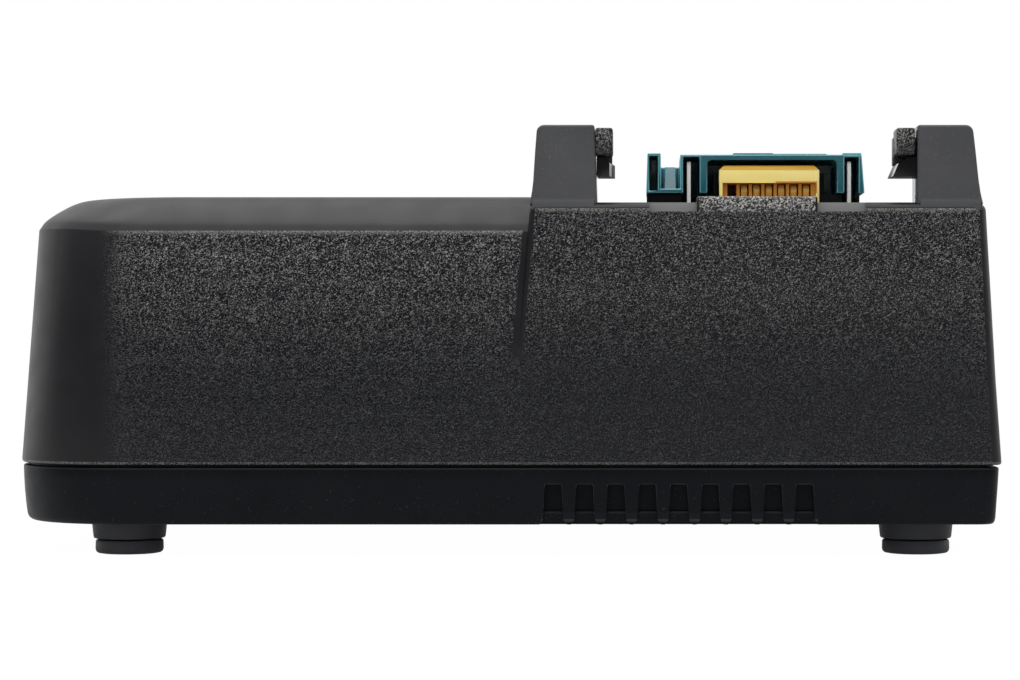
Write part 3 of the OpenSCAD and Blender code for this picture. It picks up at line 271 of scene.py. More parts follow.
# Cleans a mesh, takes it to metres and hangs it on its body.
def finishPiece(thing, body, material, stands):
    smoothUpTo = 32  # degrees
    bm = bmesh.new()
    bm.from_mesh(thing.data)
    bmesh.ops.remove_doubles(bm, verts=bm.verts, dist=weldAt)
    bmesh.ops.dissolve_degenerate(bm, dist=weldAt, edges=bm.edges)
    bmesh.ops.recalc_face_normals(bm, faces=bm.faces)
    bmesh.ops.scale(bm, vec=(toMetres,) * 3, verts=bm.verts)
    bm.to_mesh(thing.data)
    bm.free()
    thing.data.shade_smooth()
    thing.data.set_sharp_from_angle(angle=math.radians(smoothUpTo))
    thing.data.materials.clear()
    thing.data.materials.append(material)
    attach(thing, body)
    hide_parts(*stands)


# Material helpers
def newMaterial(name):
    material = bpy.data.materials.new(name)
    material.use_nodes = True
    tree = material.node_tree
    tree.nodes.clear()
    out = tree.nodes.new("ShaderNodeOutputMaterial")
    shader = tree.nodes.new("ShaderNodeBsdfPrincipled")
    tree.links.new(shader.outputs["BSDF"], out.inputs["Surface"])
    coords = tree.nodes.new("ShaderNodeTexCoord").outputs["Object"]
    return material, tree, shader, coords


def addNoise(tree, coords, scale, detail=3.0, roughness=0.5, distortion=0.0):
    node = tree.nodes.new("ShaderNodeTexNoise")
    node.inputs["Scale"].default_value = scale
    node.inputs["Detail"].default_value = detail
    node.inputs["Roughness"].default_value = roughness
    node.inputs["Distortion"].default_value = distortion
    tree.links.new(coords, node.inputs["Vector"])
    return node.outputs["Fac"]


def addRange(tree, value, low, high, outLow=0.0, outHigh=1.0, smooth=True):
    node = tree.nodes.new("ShaderNodeMapRange")
    node.interpolation_type = "SMOOTHSTEP" if smooth else "LINEAR"
    for key, number in (("From Min", low), ("From Max", high), ("To Min", outLow), ("To Max", outHigh)):
        node.inputs[key].default_value = number
    tree.links.new(value, node.inputs["Value"])
    return node.outputs["Result"]


def addMath(tree, action, first, second=None):
    node = tree.nodes.new("ShaderNodeMath")
    node.operation = action
    for socket, value in zip(node.inputs, (first, second)):
        if value is None:
            continue
        if isinstance(value, (int, float)):
            socket.default_value = value
        else:
            tree.links.new(value, socket)
    return node.outputs["Value"]


def addMix(tree, factor, first, second):
    node = tree.nodes.new("ShaderNodeMix")
    node.data_type = "RGBA"
    tree.links.new(factor, node.inputs[0])
    for socket, value in ((node.inputs[6], first), (node.inputs[7], second)):
        if isinstance(value, (tuple, list)):
            socket.default_value = (*value, 1.0) if len(value) == 3 else value
        else:
            tree.links.new(value, socket)
    return node.outputs[2]


def addBump(tree, shader, height, strength, distance, under=None):
    node = tree.nodes.new("ShaderNodeBump")
    node.inputs["Distance"].default_value = distance
    tree.links.new(height, node.inputs["Height"])
    if isinstance(strength, (int, float)):
        node.inputs["Strength"].default_value = strength
    else:
        tree.links.new(strength, node.inputs["Strength"])
    if under is not None:
        tree.links.new(under, node.inputs["Normal"])
    tree.links.new(node.outputs["Normal"], shader.inputs["Normal"])
    return node.outputs["Normal"]


def splitAxes(tree, coords):
    node = tree.nodes.new("ShaderNodeSeparateXYZ")
    tree.links.new(coords, node.inputs["Vector"])
    return node.outputs["X"], node.outputs["Y"], node.outputs["Z"]


def addProduct(tree, first, *others):
    for other in others:
        first = addMath(tree, "MULTIPLY", first, other)
    return first


def addBetween(tree, value, low, high):
    return addProduct(tree, addMath(tree, "GREATER_THAN", value, low), addMath(tree, "LESS_THAN", value, high))


# How far a face looks along X, Y and Z.
def addFacing(tree):
    normal = tree.nodes.new("ShaderNodeNewGeometry").outputs["True Normal"]
    return [addMath(tree, "ABSOLUTE", part) for part in splitAxes(tree, normal)]


mottleSpan = (0.3, 0.7)
fineDepth = 0.00004
# facing ranges for the painted highlight on rounded edges, for the shutter's ramp that it skips, and for the posts'
# smoother sides
roundedEdge = {"rim": (0.96, 0.998), "ramp": 0.755, "rampSlack": 0.025, "side": (0.97, 0.99)}


# Plain moulded plastic: mottled colour, light specks, uneven gloss and a fine surface; optionally painted highlights on
# rounded edges and in bands of height, and painted shade inside.
def mouldedPlastic(name, look):
    material, tree, shader, coords = newMaterial(name)
    look = {"mottleScale": 60.0, "speckScale": 3600.0, "glossScale": 220.0, "fineScale": 2600.0, "fine": 0.2,
            "specular": 0.4, "metal": 0.0, "rimHighlightBox": ((), ()), "paintedBands": (), **look}
    x, y, z = splitAxes(tree, coords)
    mottle = addNoise(tree, coords, look["mottleScale"], 4.0)
    colour = addMix(tree, addRange(tree, mottle, *mottleSpan), look["dark"], look["light"])
    if "speck" in look:
        specks = addNoise(tree, coords, look["speckScale"], 1.0)
        colour = addMix(tree, addRange(tree, specks, 0.68, 0.8), colour, look["speck"])
    if "rim" in look:
        # painted highlight on rounded edges: they look along none of the three axes, and nor does the shutter's ramp,
        # which stays plain
        along = addFacing(tree)
        straight = addMath(tree, "MAXIMUM", addMath(tree, "MAXIMUM", along[0], along[1]), along[2])
        edge = addRange(tree, straight, *roundedEdge["rim"], 1.0, 0.0)
        offRamp = addMath(tree, "ABSOLUTE", addMath(tree, "SUBTRACT", straight, roundedEdge["ramp"]))
        edge = addProduct(tree, edge, addMath(tree, "GREATER_THAN", offRamp, roundedEdge["rampSlack"]))
        for low, high, part in zip(*look["rimHighlightBox"], (x, y, z)):
            edge = addProduct(tree, edge, addBetween(tree, part, low, high))
        colour = addMix(tree, edge, colour, look["rim"])
    if "inside" in look:
        # painted shade: darker amber deeper than the front face; and the crest along the top
        reach, ceiling, tone = look["inside"]
        within = addProduct(tree, addMath(tree, "GREATER_THAN", y, reach), addMath(tree, "LESS_THAN", z, ceiling))
        colour = addMix(tree, within, colour, tone)
        foot, tone = look["crest"]
        colour = addMix(tree, addMath(tree, "GREATER_THAN", z, foot), colour, tone)
    # painted highlights: bands of height painted a lighter tone
    for low, high, tone in look["paintedBands"]:
        colour = addMix(tree, addBetween(tree, z, low, high), colour, tone)
    tree.links.new(colour, shader.inputs["Base Color"])
    gloss = addNoise(tree, coords, look["glossScale"], 3.0)
    rough = addRange(tree, gloss, *mottleSpan, *look["rough"])
    if "sideGloss" in look:
        # the inner sides of the posts are smoother than their fronts
        sideways = addFacing(tree)[0]
        rough = addProduct(tree, rough, addRange(tree, sideways, *roundedEdge["side"], 1.0, look["sideGloss"]))
    tree.links.new(rough, shader.inputs["Roughness"])
    shader.inputs["Specular IOR Level"].default_value = look["specular"]
    shader.inputs["Metallic"].default_value = look["metal"]
    if "clear" in look:
        shader.inputs["Transmission Weight"].default_value = look["clear"]
        shader.inputs["IOR"].default_value = 1.49
    fine = addNoise(tree, coords, look["fineScale"], 2.0)
    addBump(tree, shader, fine, look["fine"], fineDepth)
    return material


# Values that every grained finish shares. The grain leans, and is longer than it is wide.
grain = {"lean": -40.0, "stretch": 1.5, "roughness": 0.45, "crest": 0.02, "pits": (0.40, 0.56, 0.1, 1.0),
         "height": 0.00020, "bayEdge": 0.0047, "top": 0.0621, "mottleScale": 38.0, "unevenGloss": 0.03}


# Case plastic: coarse leather-like grain on the upright faces with painted highlights on its ridges; smooth crown,
# corner and edges.
def grainedPlastic(name, look):
    material, tree, shader, coords = newMaterial(name)
    x, y, z = splitAxes(tree, coords)
    turn = tree.nodes.new("ShaderNodeMapping")
    turn.vector_type = "TEXTURE"
    turn.inputs["Rotation"].default_value = (0, math.radians(grain["lean"]), 0)
    turn.inputs["Scale"].default_value = (grain["stretch"], 1, 1)
    tree.links.new(coords, turn.inputs["Vector"])
    wander = addNoise(tree, turn.outputs["Vector"], look["grainScale"], 1.0, grain["roughness"], look["grainTwist"])
    crease = addMath(tree, "ABSOLUTE", addMath(tree, "SUBTRACT", addMath(tree, "MULTIPLY", wander, 2.0), 1.0))
    pits = addNoise(tree, coords, look["pitScale"], 1.0)
    ridge = addRange(tree, crease, grain["crest"], look["ridgeWidth"], 1.0, 0.0)
    height = addMath(tree, "ADD", ridge, addMath(tree, "MULTIPLY", pits, look["pitShare"]))

    # where the grain is
    onBay = addMath(tree, "GREATER_THAN", x, grain["bayEdge"])
    topLine = addMath(tree, "ADD", grain["top"], addMath(tree, "MULTIPLY", onBay, look["bayRise"]))
    edge, lean = look["rightEdge"]
    limit = addMath(tree, "ADD", edge, addMath(tree, "MULTIPLY", z, lean))
    mask = addProduct(tree, addMath(tree, "LESS_THAN", z, topLine), addRange(tree, x, *look["corner"]),
                      addMath(tree, "LESS_THAN", x, limit))
    if "grainFloor" in look:
        mask = addProduct(tree, mask, addMath(tree, "GREATER_THAN", z, look["grainFloor"]))
    if "blockEdge" in look:
        # smooth strip where the bay block's front corner stands proud
        strip = look["blockEdge"]
        line = addMath(tree, "ADD", strip["at"], addMath(tree, "MULTIPLY", z, strip["lean"]))
        away = addMath(tree, "ABSOLUTE", addMath(tree, "SUBTRACT", x, line))
        beside = addRange(tree, away, strip["half"], strip["half"] + strip["blend"])
        under = addRange(tree, z, *strip["fade"], 1.0, 0.0)
        mask = addProduct(tree, mask, addMath(tree, "MAXIMUM", beside, under))

    # colour, with painted highlights on the grain
    mottle = addNoise(tree, coords, grain["mottleScale"], 4.0)
    smooth = addMix(tree, addRange(tree, mottle, *mottleSpan), look["smoothDark"], look["smoothLight"])
    if "notch" in look:
        notch = look["notch"]
        within = addProduct(tree, addBetween(tree, x, *notch["x"]), addBetween(tree, y, *notch["y"]),
                            addMath(tree, "GREATER_THAN", z, notch["floor"]))
        smooth = addMix(tree, within, smooth, notch["colour"])
        mask = addProduct(tree, mask, addMath(tree, "SUBTRACT", 1.0, within))
    # painted highlights on the grain's ridges, lighter towards the top
    bright = addMix(tree, addRange(tree, z, *look["paintedGlintFade"]), look["paintedGlintLow"], look["paintedGlintHigh"])
    glint = addProduct(tree, ridge, addRange(tree, pits, *grain["pits"]),
                       addRange(tree, onBay, 0.0, 1.0, 1.0, look.get("bayShare", 1.0)))
    grained = addMix(tree, glint, look["grainDark"], bright)
    if "firstRowHighlight" in look:
        # painted highlight: the top row of the grain is painted lighter, as if it caught the light
        tone, fade, patches = look["firstRowHighlight"]
        depth = addMath(tree, "SUBTRACT", topLine, z)
        row = addProduct(tree, addRange(tree, depth, *fade, 1.0, 0.0), addRange(tree, pits, *patches))
        grained = addMix(tree, row, grained, tone)
    colour = addMix(tree, mask, smooth, grained)
    if "seamHighlight" in look:
        # painted highlight: a dotted light line just above the parting line
        low, high, tone, dots = look["seamHighlight"]
        line = addProduct(tree, addBetween(tree, z, low, high), addRange(tree, pits, *dots))
        colour = addMix(tree, line, colour, tone)
    if "leadInReflection" in look:
        # painted reflection: pale lead-in faces of the keels
        leadInReflection = look["leadInReflection"]
        faces = addProduct(tree, addMath(tree, "GREATER_THAN", addFacing(tree)[0], leadInReflection["facing"]),
                           addMath(tree, "LESS_THAN", z, leadInReflection["below"]), addMath(tree, "LESS_THAN", y, leadInReflection["before"]))
        colour = addMix(tree, faces, colour, leadInReflection["colour"])
    tree.links.new(colour, shader.inputs["Base Color"])

    # gloss and relief
    uneven = addRange(tree, addNoise(tree, coords, 180.0), *mottleSpan, -grain["unevenGloss"], grain["unevenGloss"])
    gloss = addRange(tree, mask, 0, 1, look["smoothRough"], look["grainRough"], False)
    tree.links.new(addMath(tree, "ADD", gloss, uneven), shader.inputs["Roughness"])
    shader.inputs["Specular IOR Level"].default_value = look["specular"]
    fine = addNoise(tree, coords, 2400.0, 2.0)
    fineNormal = addBump(tree, shader, fine, look["fine"], fineDepth)
    addBump(tree, shader, height, mask, grain["height"], fineNormal)
    return material


print("helpers ready")

# Finishes
finishes = {
    "case": grainedPlastic("caseBlack", {
        "grainScale": 2600.0, "grainTwist": 0.4, "pitScale": 3800.0, "pitShare": 0.5, "ridgeWidth": 0.17,
        "bayRise": 0.0042, "corner": (-0.0775, -0.0670), "rightEdge": (0.0937, -0.045),
        "blockEdge": {"at": -0.0003, "lean": 0.0852, "half": 0.0009, "blend": 0.0004, "fade": (0.031, 0.042)},
        "notch": {"x": (0.0279, 0.0695), "y": (-0.0718, -0.0706), "floor": 0.0652, "colour": (0.235, 0.24, 0.235)},
        # painted highlights: the grain's ridges, its top row and a dotted line above the parting line are painted
        # lighter
        "grainDark": (0.0028, 0.0032, 0.0052), "paintedGlintHigh": (0.28, 0.28, 0.275), "paintedGlintLow": (0.042, 0.043, 0.047),
        "paintedGlintFade": (0.030, 0.062), "bayShare": 0.78,
        "firstRowHighlight": ((0.22, 0.215, 0.20), (0.0001, 0.0010), (0.3, 0.6)),
        "seamHighlight": (0.01775, 0.0182, (0.10, 0.10, 0.10), (0.38, 0.56)),
        "smoothDark": (0.0046, 0.0048, 0.0066), "smoothLight": (0.0060, 0.0062, 0.0082),
        "smoothRough": 0.44, "grainRough": 0.22, "specular": 0.45, "fine": 0.18}),
    "base": mouldedPlastic("baseBlack", {
        "dark": (0.0026, 0.0035, 0.0056), "light": (0.0038, 0.0048, 0.0070), "rough": (0.40, 0.48),
        # painted highlights: the foot bosses, the lip along the top and the edges round the vent slots are painted
        # lighter
        "paintedBands": [(-1, 0.0060, (0.050, 0.051, 0.058)), (0.01672, 0.01705, (0.014, 0.015, 0.018))],
        "rim": (0.034, 0.035, 0.039), "rimHighlightBox": ((0.0075, -0.0749, 0.0069), (0.0600, -0.072, 0.0152)),
        "specular": 0.14, "fine": 0.12, "speck": (0.028, 0.029, 0.032), "speckScale": 2400.0}),
    "rail": mouldedPlastic("railGrey", {
        "dark": (0.053, 0.054, 0.058), "light": (0.063, 0.064, 0.068), "rough": (0.46, 0.54),
        "specular": 0.45, "fine": 0.35, "fineScale": 2200.0, "speck": (0.15, 0.15, 0.145), "speckScale": 4200.0,
        "sideGloss": 0.25}),
    "hook": grainedPlastic("hookBlack", {
        "grainScale": 2000.0, "grainTwist": 0.5, "pitScale": 3600.0, "pitShare": 0.4, "ridgeWidth": 0.24,
        "bayRise": 0.0300, "corner": (-0.0820, -0.0700), "rightEdge": (0.2, 0.0), "grainFloor": 0.0763,
        # painted reflection on the keels' lead-in faces, and painted highlights on the grain's ridges
        "leadInReflection": {"below": 0.0763, "before": -0.0675, "facing": 0.6, "colour": (0.48, 0.47, 0.53)},
        "grainDark": (0.010, 0.010, 0.011), "paintedGlintHigh": (0.30, 0.30, 0.29), "paintedGlintLow": (0.07, 0.07, 0.07),
        "paintedGlintFade": (0.0765, 0.081),
        "smoothDark": (0.003, 0.003, 0.004), "smoothLight": (0.005, 0.005, 0.006),
        "smoothRough": 0.3, "grainRough": 0.32, "specular": 0.4, "fine": 0.10}),
    "cap": grainedPlastic("capBlack", {
        "grainScale": 1900.0, "grainTwist": 0.5, "pitScale": 3200.0, "pitShare": 0.4, "ridgeWidth": 0.30,
        "bayRise": 0.0300, "corner": (0.0373, 0.0377), "rightEdge": (0.0596, 0.0),
        # painted highlights on the grain's ridges
        "grainDark": (0.018, 0.018, 0.019), "paintedGlintHigh": (0.50, 0.49, 0.47), "paintedGlintLow": (0.40, 0.39, 0.38),
        "paintedGlintFade": (0.0655, 0.0685),
        "smoothDark": (0.006, 0.006, 0.008), "smoothLight": (0.009, 0.009, 0.011),
        "smoothRough": 0.4, "grainRough": 0.30, "specular": 0.5, "fine": 0.15}),
}

# Plain finishes: material name, darker and lighter colour, span of roughness, and what else differs
plainFinishes = {
    "pedestal": ("pedestalBlack", (0.004, 0.0045, 0.006), (0.006, 0.0065, 0.008), (0.38, 0.48), {"specular": 0.25}),
    # painted highlight on the rounded edges
    "teal": ("shutterTeal", (0.014, 0.125, 0.160), (0.024, 0.155, 0.190), (0.22, 0.32),
             {"rim": (0.16, 0.46, 0.52), "specular": 0.6, "mottleScale": 120.0}),
    # painted highlight on the rounded edges, and painted shade deeper than the front face
    "yellow": ("connectorYellow", (0.98, 0.77, 0.22), (1.0, 0.82, 0.27), (0.32, 0.4),
               {"rim": (0.98, 0.80, 0.30), "inside": (-0.0312, 0.0738, (0.60, 0.24, 0.015)),
                "crest": (0.0761, (0.78, 0.44, 0.02)), "specular": 0.5, "mottleScale": 150.0}),
    "amber": ("contactAmber", (0.99, 0.60, 0.11), (1.0, 0.70, 0.20), (0.28, 0.4), {"mottleScale": 500.0}),
    "steel": ("wireSteel", (0.55, 0.55, 0.56), (0.68, 0.68, 0.68), (0.28, 0.4), {"metal": 1.0}),
    "blade": ("bladePlating", (0.97, 0.97, 0.94), (0.99, 0.99, 0.97), (0.3, 0.42), {}),
    "fan": ("fanBlack", (0.012, 0.012, 0.013), (0.018, 0.018, 0.019), (0.35, 0.45), {}),
    "copper": ("windingCopper", (0.55, 0.20, 0.07), (0.75, 0.32, 0.13), (0.25, 0.4),
               {"metal": 1.0, "mottleScale": 900.0}),
    "board": ("boardGreen", (0.012, 0.11, 0.045), (0.03, 0.19, 0.08), (0.25, 0.35), {"mottleScale": 300.0}),
    "ferrite": ("ferriteGrey", (0.04, 0.04, 0.043), (0.07, 0.07, 0.074), (0.6, 0.72), {"mottleScale": 400.0}),
    "tape": ("coilTape", (0.72, 0.42, 0.05), (0.85, 0.55, 0.10), (0.2, 0.3), {"mottleScale": 200.0}),
    "sleeve": ("capacitorSleeve", (0.02, 0.028, 0.10), (0.03, 0.04, 0.13), (0.25, 0.33), {}),
    "aluminium": ("sinkAluminium", (0.68, 0.69, 0.71), (0.80, 0.81, 0.82), (0.35, 0.5), {"metal": 1.0}),
    "package": ("packageBlack", (0.015, 0.015, 0.015), (0.022, 0.022, 0.022), (0.5, 0.6), {}),
    "fuse": ("fuseGlass", (0.8, 0.83, 0.83), (0.88, 0.9, 0.9), (0.05, 0.1), {"clear": 0.6}),
    "relay": ("relayBlue", (0.02, 0.10, 0.36), (0.03, 0.13, 0.42), (0.25, 0.35), {}),
    "terminal": ("terminalGreen", (0.03, 0.20, 0.06), (0.05, 0.26, 0.09), (0.35, 0.45), {}),
    "wireBlack": ("wireBlack", (0.012, 0.012, 0.012), (0.02, 0.02, 0.02), (0.3, 0.4), {}),
    "wireRed": ("wireRed", (0.42, 0.015, 0.015), (0.55, 0.025, 0.02), (0.3, 0.4), {}),
    "led": ("ledClear", (0.8, 0.82, 0.8), (0.88, 0.9, 0.86), (0.08, 0.14), {"clear": 0.5}),
    "lens": ("lensClear", (0.16, 0.17, 0.18), (0.2, 0.21, 0.22), (0.07, 0.12), {"clear": 0.45}),
    "rubber": ("footRubber", (0.038, 0.040, 0.046), (0.052, 0.055, 0.062), (0.5, 0.62),
               {"specular": 0.45, "fine": 0.3}),
    "screw": ("screwSteel", (0.48, 0.48, 0.5), (0.6, 0.6, 0.61), (0.3, 0.42), {"metal": 1.0}),
}
for finish, (name, dark, light, rough, more) in plainFinishes.items():
    finishes[finish] = mouldedPlastic(name, {"dark": dark, "light": light, "rough": rough, **more})
print("finishes ready")

carried = {
    "pedestal": ["terminal_base"],
    "steel": ["cover_guide_rods", "cover_spring_left", "cover_spring_right"],
    "fan": ["fan_frame", "fan_rotor", "air_duct"],
    "copper": ["fan_stator", "line_choke"],
    "board": ["main_board", "led_board"],
    "ferrite": ["transformer_core"],
    "tape": ["transformer_coil"],
    "sleeve": ["bulk_capacitors", "output_capacitors"],
    "aluminium": ["heatsink_primary", "heatsink_secondary"],
    "package": ["power_transistors", "buzzer"],
    "fuse": ["input_fuse"],
    "relay": ["output_relay"],
    "terminal": ["mains_terminal"],
    "wireBlack": ["lead_negative"],
    "wireRed": ["lead_positive"],
    "led": ["indicator_leds"],
    "screw": ["fan_screws", "case_screws", "board_screws", "base_screws", "led_screws"],
}
for finish, names in carried.items():
    for name in names:
        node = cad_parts[name]
        node.data.materials.clear()
        node.data.materials.append(finishes[finish])
print("frame nodes finished")


# Upper case: the supply body on the left, the bay block on the right
def liftCrease(bm):
    crease = {"level": 61.8, "top": 69.0, "base": 17.6, "rise": 1.0, "from": -70.0, "to": -91.0}
    for v in bm.verts:
        reach = min(max((v.co.x - crease["from"]) / (crease["to"] - crease["from"]), 0), 1)
        reach = reach * reach * (3 - 2 * reach)
        if v.co.z <= crease["level"] + 0.001:
            share = max(v.co.z - crease["base"], 0) / (crease["level"] - crease["base"])
        else:
            share = (crease["top"] - v.co.z) / (crease["top"] - crease["level"])
        v.co.z += crease["rise"] * reach * max(share, 0)


def makeUpperCase():
    supply = {"level": 61.8, "left": 2.63, "ends": 3.40, "right": 34.0, "radius": 22.0,
              "lip": [(17.6, 0.4, 1.0, 0.4), (17.72, 0.2, 1.0, 0.2), (17.95, 0.06, 1.0, 0.06),
                      (18.3, 0.05, 1.0, 0.055)],
              "crown": [(0, 0), (0.94, 0.45), (1.85, 0.94), (2.88, 1.8), (4.39, 3.38), (5.76, 5.1), (6.7, 6.77),
                        (7.09, 8.4), (7.2, 9.94)],
              "cuts": [((5.29, -90, 66.2), (40, 90, 80)), ((8.2, -90, 60.2), (40, 90, 67))]}
    bay = {"left": 1.21, "frontRadius": 1.2, "rightRadius": 3.0, "rounding": 1.7, "turns": (12, 25, 38, 52, 65, 78, 90),
           "levels": [(17.6, 0.4, 0.37, 0.37), (17.72, 0.2, 0.17, 0.17), (17.95, 0.1, 0.03, 0.03),
                      (18.3, 0.1, 0.03, 0.025), (33.2, 1.36, 0.95, 1.17), (65.8, 4.08, 2.75, 1.9)],
           "stopBar": ((12.09, 61.1, 65.0), (84.99, 67.1, 72.2)), "stopEdge": 1.2}
    hollow = {"x0": -92.5, "x1": 92.4, "y0": -72.5, "y1": 72.5, "leftRadius": 19.5, "rightRadius": 1.5, "steps": 10}
    bayHollow = {"x0": 8.0, "x1": 89.0, "y0": -69.5, "y1": 69.5, "leftRadius": 1.0, "rightRadius": 1.0}
    supplyHollow = {"x0": -84.0, "x1": 2.6, "y0": -62.0, "y1": 62.0, "leftRadius": 19.0, "rightRadius": 1.0}
    notch = {"outline": [(27.99, 65.7), (69.4, 65.7), (68.7, 70.0), (27.99, 70.0)], "rear": -70.9}
    seats = {"pedestal": ((27.19, -30.8, 60), (71.44, 11.8, 72)), "outlet": ((32.04, -62.1, 60), (65.04, -37.0, 72)),
             "grille": [(30.0, -64.2), (67.1, -64.2), (67.1, -34.9), (30.0, -34.9)], "grilleLow": 65.8,
             "lens": [(-37.8, -36.6), (-3.6, -36.6), (-3.6, -29.4), (-37.8, -29.4)]}
    cord = {"at": (-57, 0, 31.6), "hole": 6.6, "recess": 8.9, "recessFrom": 70.3}

    level, left, ends = supply["level"], supply["left"], supply["ends"]
    side = [(level, left, 1.0, ends)]
    crown = [(level + rise, left + inset, 1.0 + inset, ends + inset)
             for rise, inset in smoothLevels(supply["crown"], 3)[1:]]
    outline = {"x0": stand["left"], "x1": supply["right"], "y0": stand["front"], "y1": stand["rear"],
               "leftRadius": supply["radius"], "rightRadius": 0.5, "steps": 24, "rightSteps": 1}
    body = raisedBody(outline, supply["lip"] + side + crown)
    liftCrease(body)
    case = asObject("upperCase", body)
    combine(case, [block(*corners) for corners in supply["cuts"]], "DIFFERENCE")

    # The bay block meets the leaning front below and stands proud of it above.
    blockLevels = list(bay["levels"])
    top, *insets = blockLevels[-1]
    for turn in bay["turns"]:
        a = math.radians(turn)
        inset = bay["rounding"] * (1 - math.cos(a))
        blockLevels.append((top + bay["rounding"] * math.sin(a), *[side + inset for side in insets]))
    bayOutline = {"x0": bay["left"], "x1": stand["right"], "y0": stand["front"], "y1": stand["rear"],
                  "leftRadius": bay["frontRadius"], "rightRadius": bay["rightRadius"], "steps": 5, "rightSteps": 8}
    combine(case, [raisedBody(bayOutline, blockLevels), softBlock(*bay["stopBar"], bay["stopEdge"])], "UNION")

    cuts = [raisedBody(hollow, [(15.0, 0, 0, 0), (59.0, 3.0, 3.0, 3.6), (62.0, 7.0, 4.0, 7.0)]),
            raisedBody(bayHollow, [(58.0, 0, 0, 0), (64.7, 0, 0, 0)]),
            raisedBody(supplyHollow, [(58.0, 0, 0, 0), (62.5, 4, 0, 4), (64.9, 12, 0, 12), (66.1, 22, 0, 22)]),
            pushed(notch["outline"], stand["front"] - 5, notch["rear"]),
            block(*seats["pedestal"]),
            pushed(seats["grille"], seats["grilleLow"], 72, "Z", [1.5] * 4),
            block(*seats["outlet"]),
            pushed(seats["lens"], 60, 75, "Z", [1.2] * 4),
            cylinder(cord["hole"], 60.0, 80.0, cord["at"], "Y"),
            cylinder(cord["recess"], cord["recessFrom"], 80.0, cord["at"], "Y")]
    combine(case, cuts, "DIFFERENCE")
    finishPiece(case, "case", finishes["case"], ["upper_case"])


makeUpperCase()
print("upper case made")


# Lower case: a tray with four foot bosses, nine vent slots and six screw pockets
def makeLowerCase():
    tray = {"floor": 8.6, "tongue": 1.45, "tongueTop": 19.4, "wall": 2.7, "top": 17.14,
            "side": [(6.3, 2.1, 1.7, 1.7), (6.36, 1.85, 1.55, 1.5), (6.5, 1.6, 1.4, 1.3), (6.8, 1.25, 1.22, 1.07),
                     (7.4, 0.95, 1.08, 0.9), (8.6, 0.78, 1.0, 0.74), (10.0, 0.65, 0.93, 0.64), (12.4, 0.45, 0.76, 0.5),
                     (14.6, 0.35, 0.62, 0.4), (16.85, 0.3, 0.5, 0.3), (17.0, 0.34, 0.54, 0.34),
                     (17.1, 0.44, 0.64, 0.44), (17.14, 0.62, 0.82, 0.62)]}
    boss = {"x": (-73.0, 79.8), "y": (-60, 60), "plug": 4.4,
            "profile": [(0, 7.8), (7.3, 7.8), (7.25, 6.4), (6.92, 3.25), (6.8, 3.0), (6.55, 2.9), (0, 2.9)]}
    slots = {"count": 9, "first": 9.82, "pitch": 5.953, "low": 1.93, "high": 1.55, "top": 13.95, "inset": 0.75,
             "depth": 2.8, "flare": (0.9, -1.75, 1.1), "ledge": (7.9, 59.4)}
    pocket = {"at": ((-87, -39), (-87, 39), (86, -41), (86, 41), (-4.79, -61), (-4.79, 61)),
              "profile": [(0, 4.0), (3.9, 4.0), (3.9, 6.1), (3.1, 6.8), (3.1, 12.3), (0, 12.3)]}

    tongue = (tray["tongue"],) * 3
    levels = tray["side"] + [(tray["top"], *tongue), (tray["tongueTop"], *tongue)]
    outline = {"x0": stand["left"], "x1": stand["right"], "y0": stand["front"], "y1": stand["rear"],
               "leftRadius": 22.0, "rightRadius": 3.0, "steps": 24, "rightSteps": 8}
    case = asObject("lowerCase", raisedBody(outline, levels))
    footAt = [(x, y) for x in boss["x"] for y in boss["y"]]
    combine(case, [turned(boss["profile"], (x, y, 0), steps=64) for x, y in footAt], "UNION")

    wall = tray["wall"]
    inner = {"x0": stand["left"] + wall, "x1": stand["right"] - wall, "y0": stand["front"] + wall,
             "y1": stand["rear"] - wall, "leftRadius": 19.3, "rightRadius": 1.0, "steps": 10}
    cuts = [raisedBody(inner, [(tray["floor"], 1.0, 1.0, 0.8), (12.0, 0.6, 0.6, 0.2), (25.0, 0, 0, 0)])]
    mouthAt = stand["front"] + slots["inset"]
    low, high, top = slots["low"], slots["high"], slots["top"]
    for i in range(slots["count"]):
        x = slots["first"] + i * slots["pitch"]
        corners = [(x - low - 0.7, 5.0), (x + low + 0.7, 5.0), (x + low + 0.7, 6.35), (x + low, 7.05),
                   (x + high, top), (x - high, top), (x - low, 7.05), (x - low - 0.7, 6.35)]
        slot = pushed(corners, mouthAt, stand["front"] + slots["depth"], "Y", [0, 0, 0.25, 0.5, 0.4, 0.4, 0.5, 0.25])
        mouth = [f for f in slot.faces if abs(f.calc_center_median().y - mouthAt) < 0.01]
        grown = bmesh.ops.extrude_face_region(slot, geom=mouth)["geom"]
        bmesh.ops.delete(slot, geom=mouth, context="FACES_ONLY")
        flare = vertsOf(grown)
        out, forward, up = slots["flare"]
        bmesh.ops.translate(slot, vec=(0, forward, 0), verts=flare)
        for v in flare:
            if v.co.z > 9:
                v.co.z += up
                v.co.x += out if v.co.x > x else -out
        cuts.append(slot)
    cuts += [cylinder(boss["plug"], 2.0, 3.6, (x, y, 0)) for x, y in footAt]
    cuts += [turned(pocket["profile"], (x, y, 0), steps=32) for x, y in pocket["at"]]
    combine(case, cuts, "DIFFERENCE")
    ledge = pushed([(-73.6, 6.75), (-73.6, 8.45), (-73.3, 8.8), (-72.0, 8.8), (-72.0, 6.75)], *slots["ledge"], "X")
    combine(case, [ledge], "UNION")
    finishPiece(case, "case", finishes["base"], ["lower_case"])


makeLowerCase()
print("lower case made")


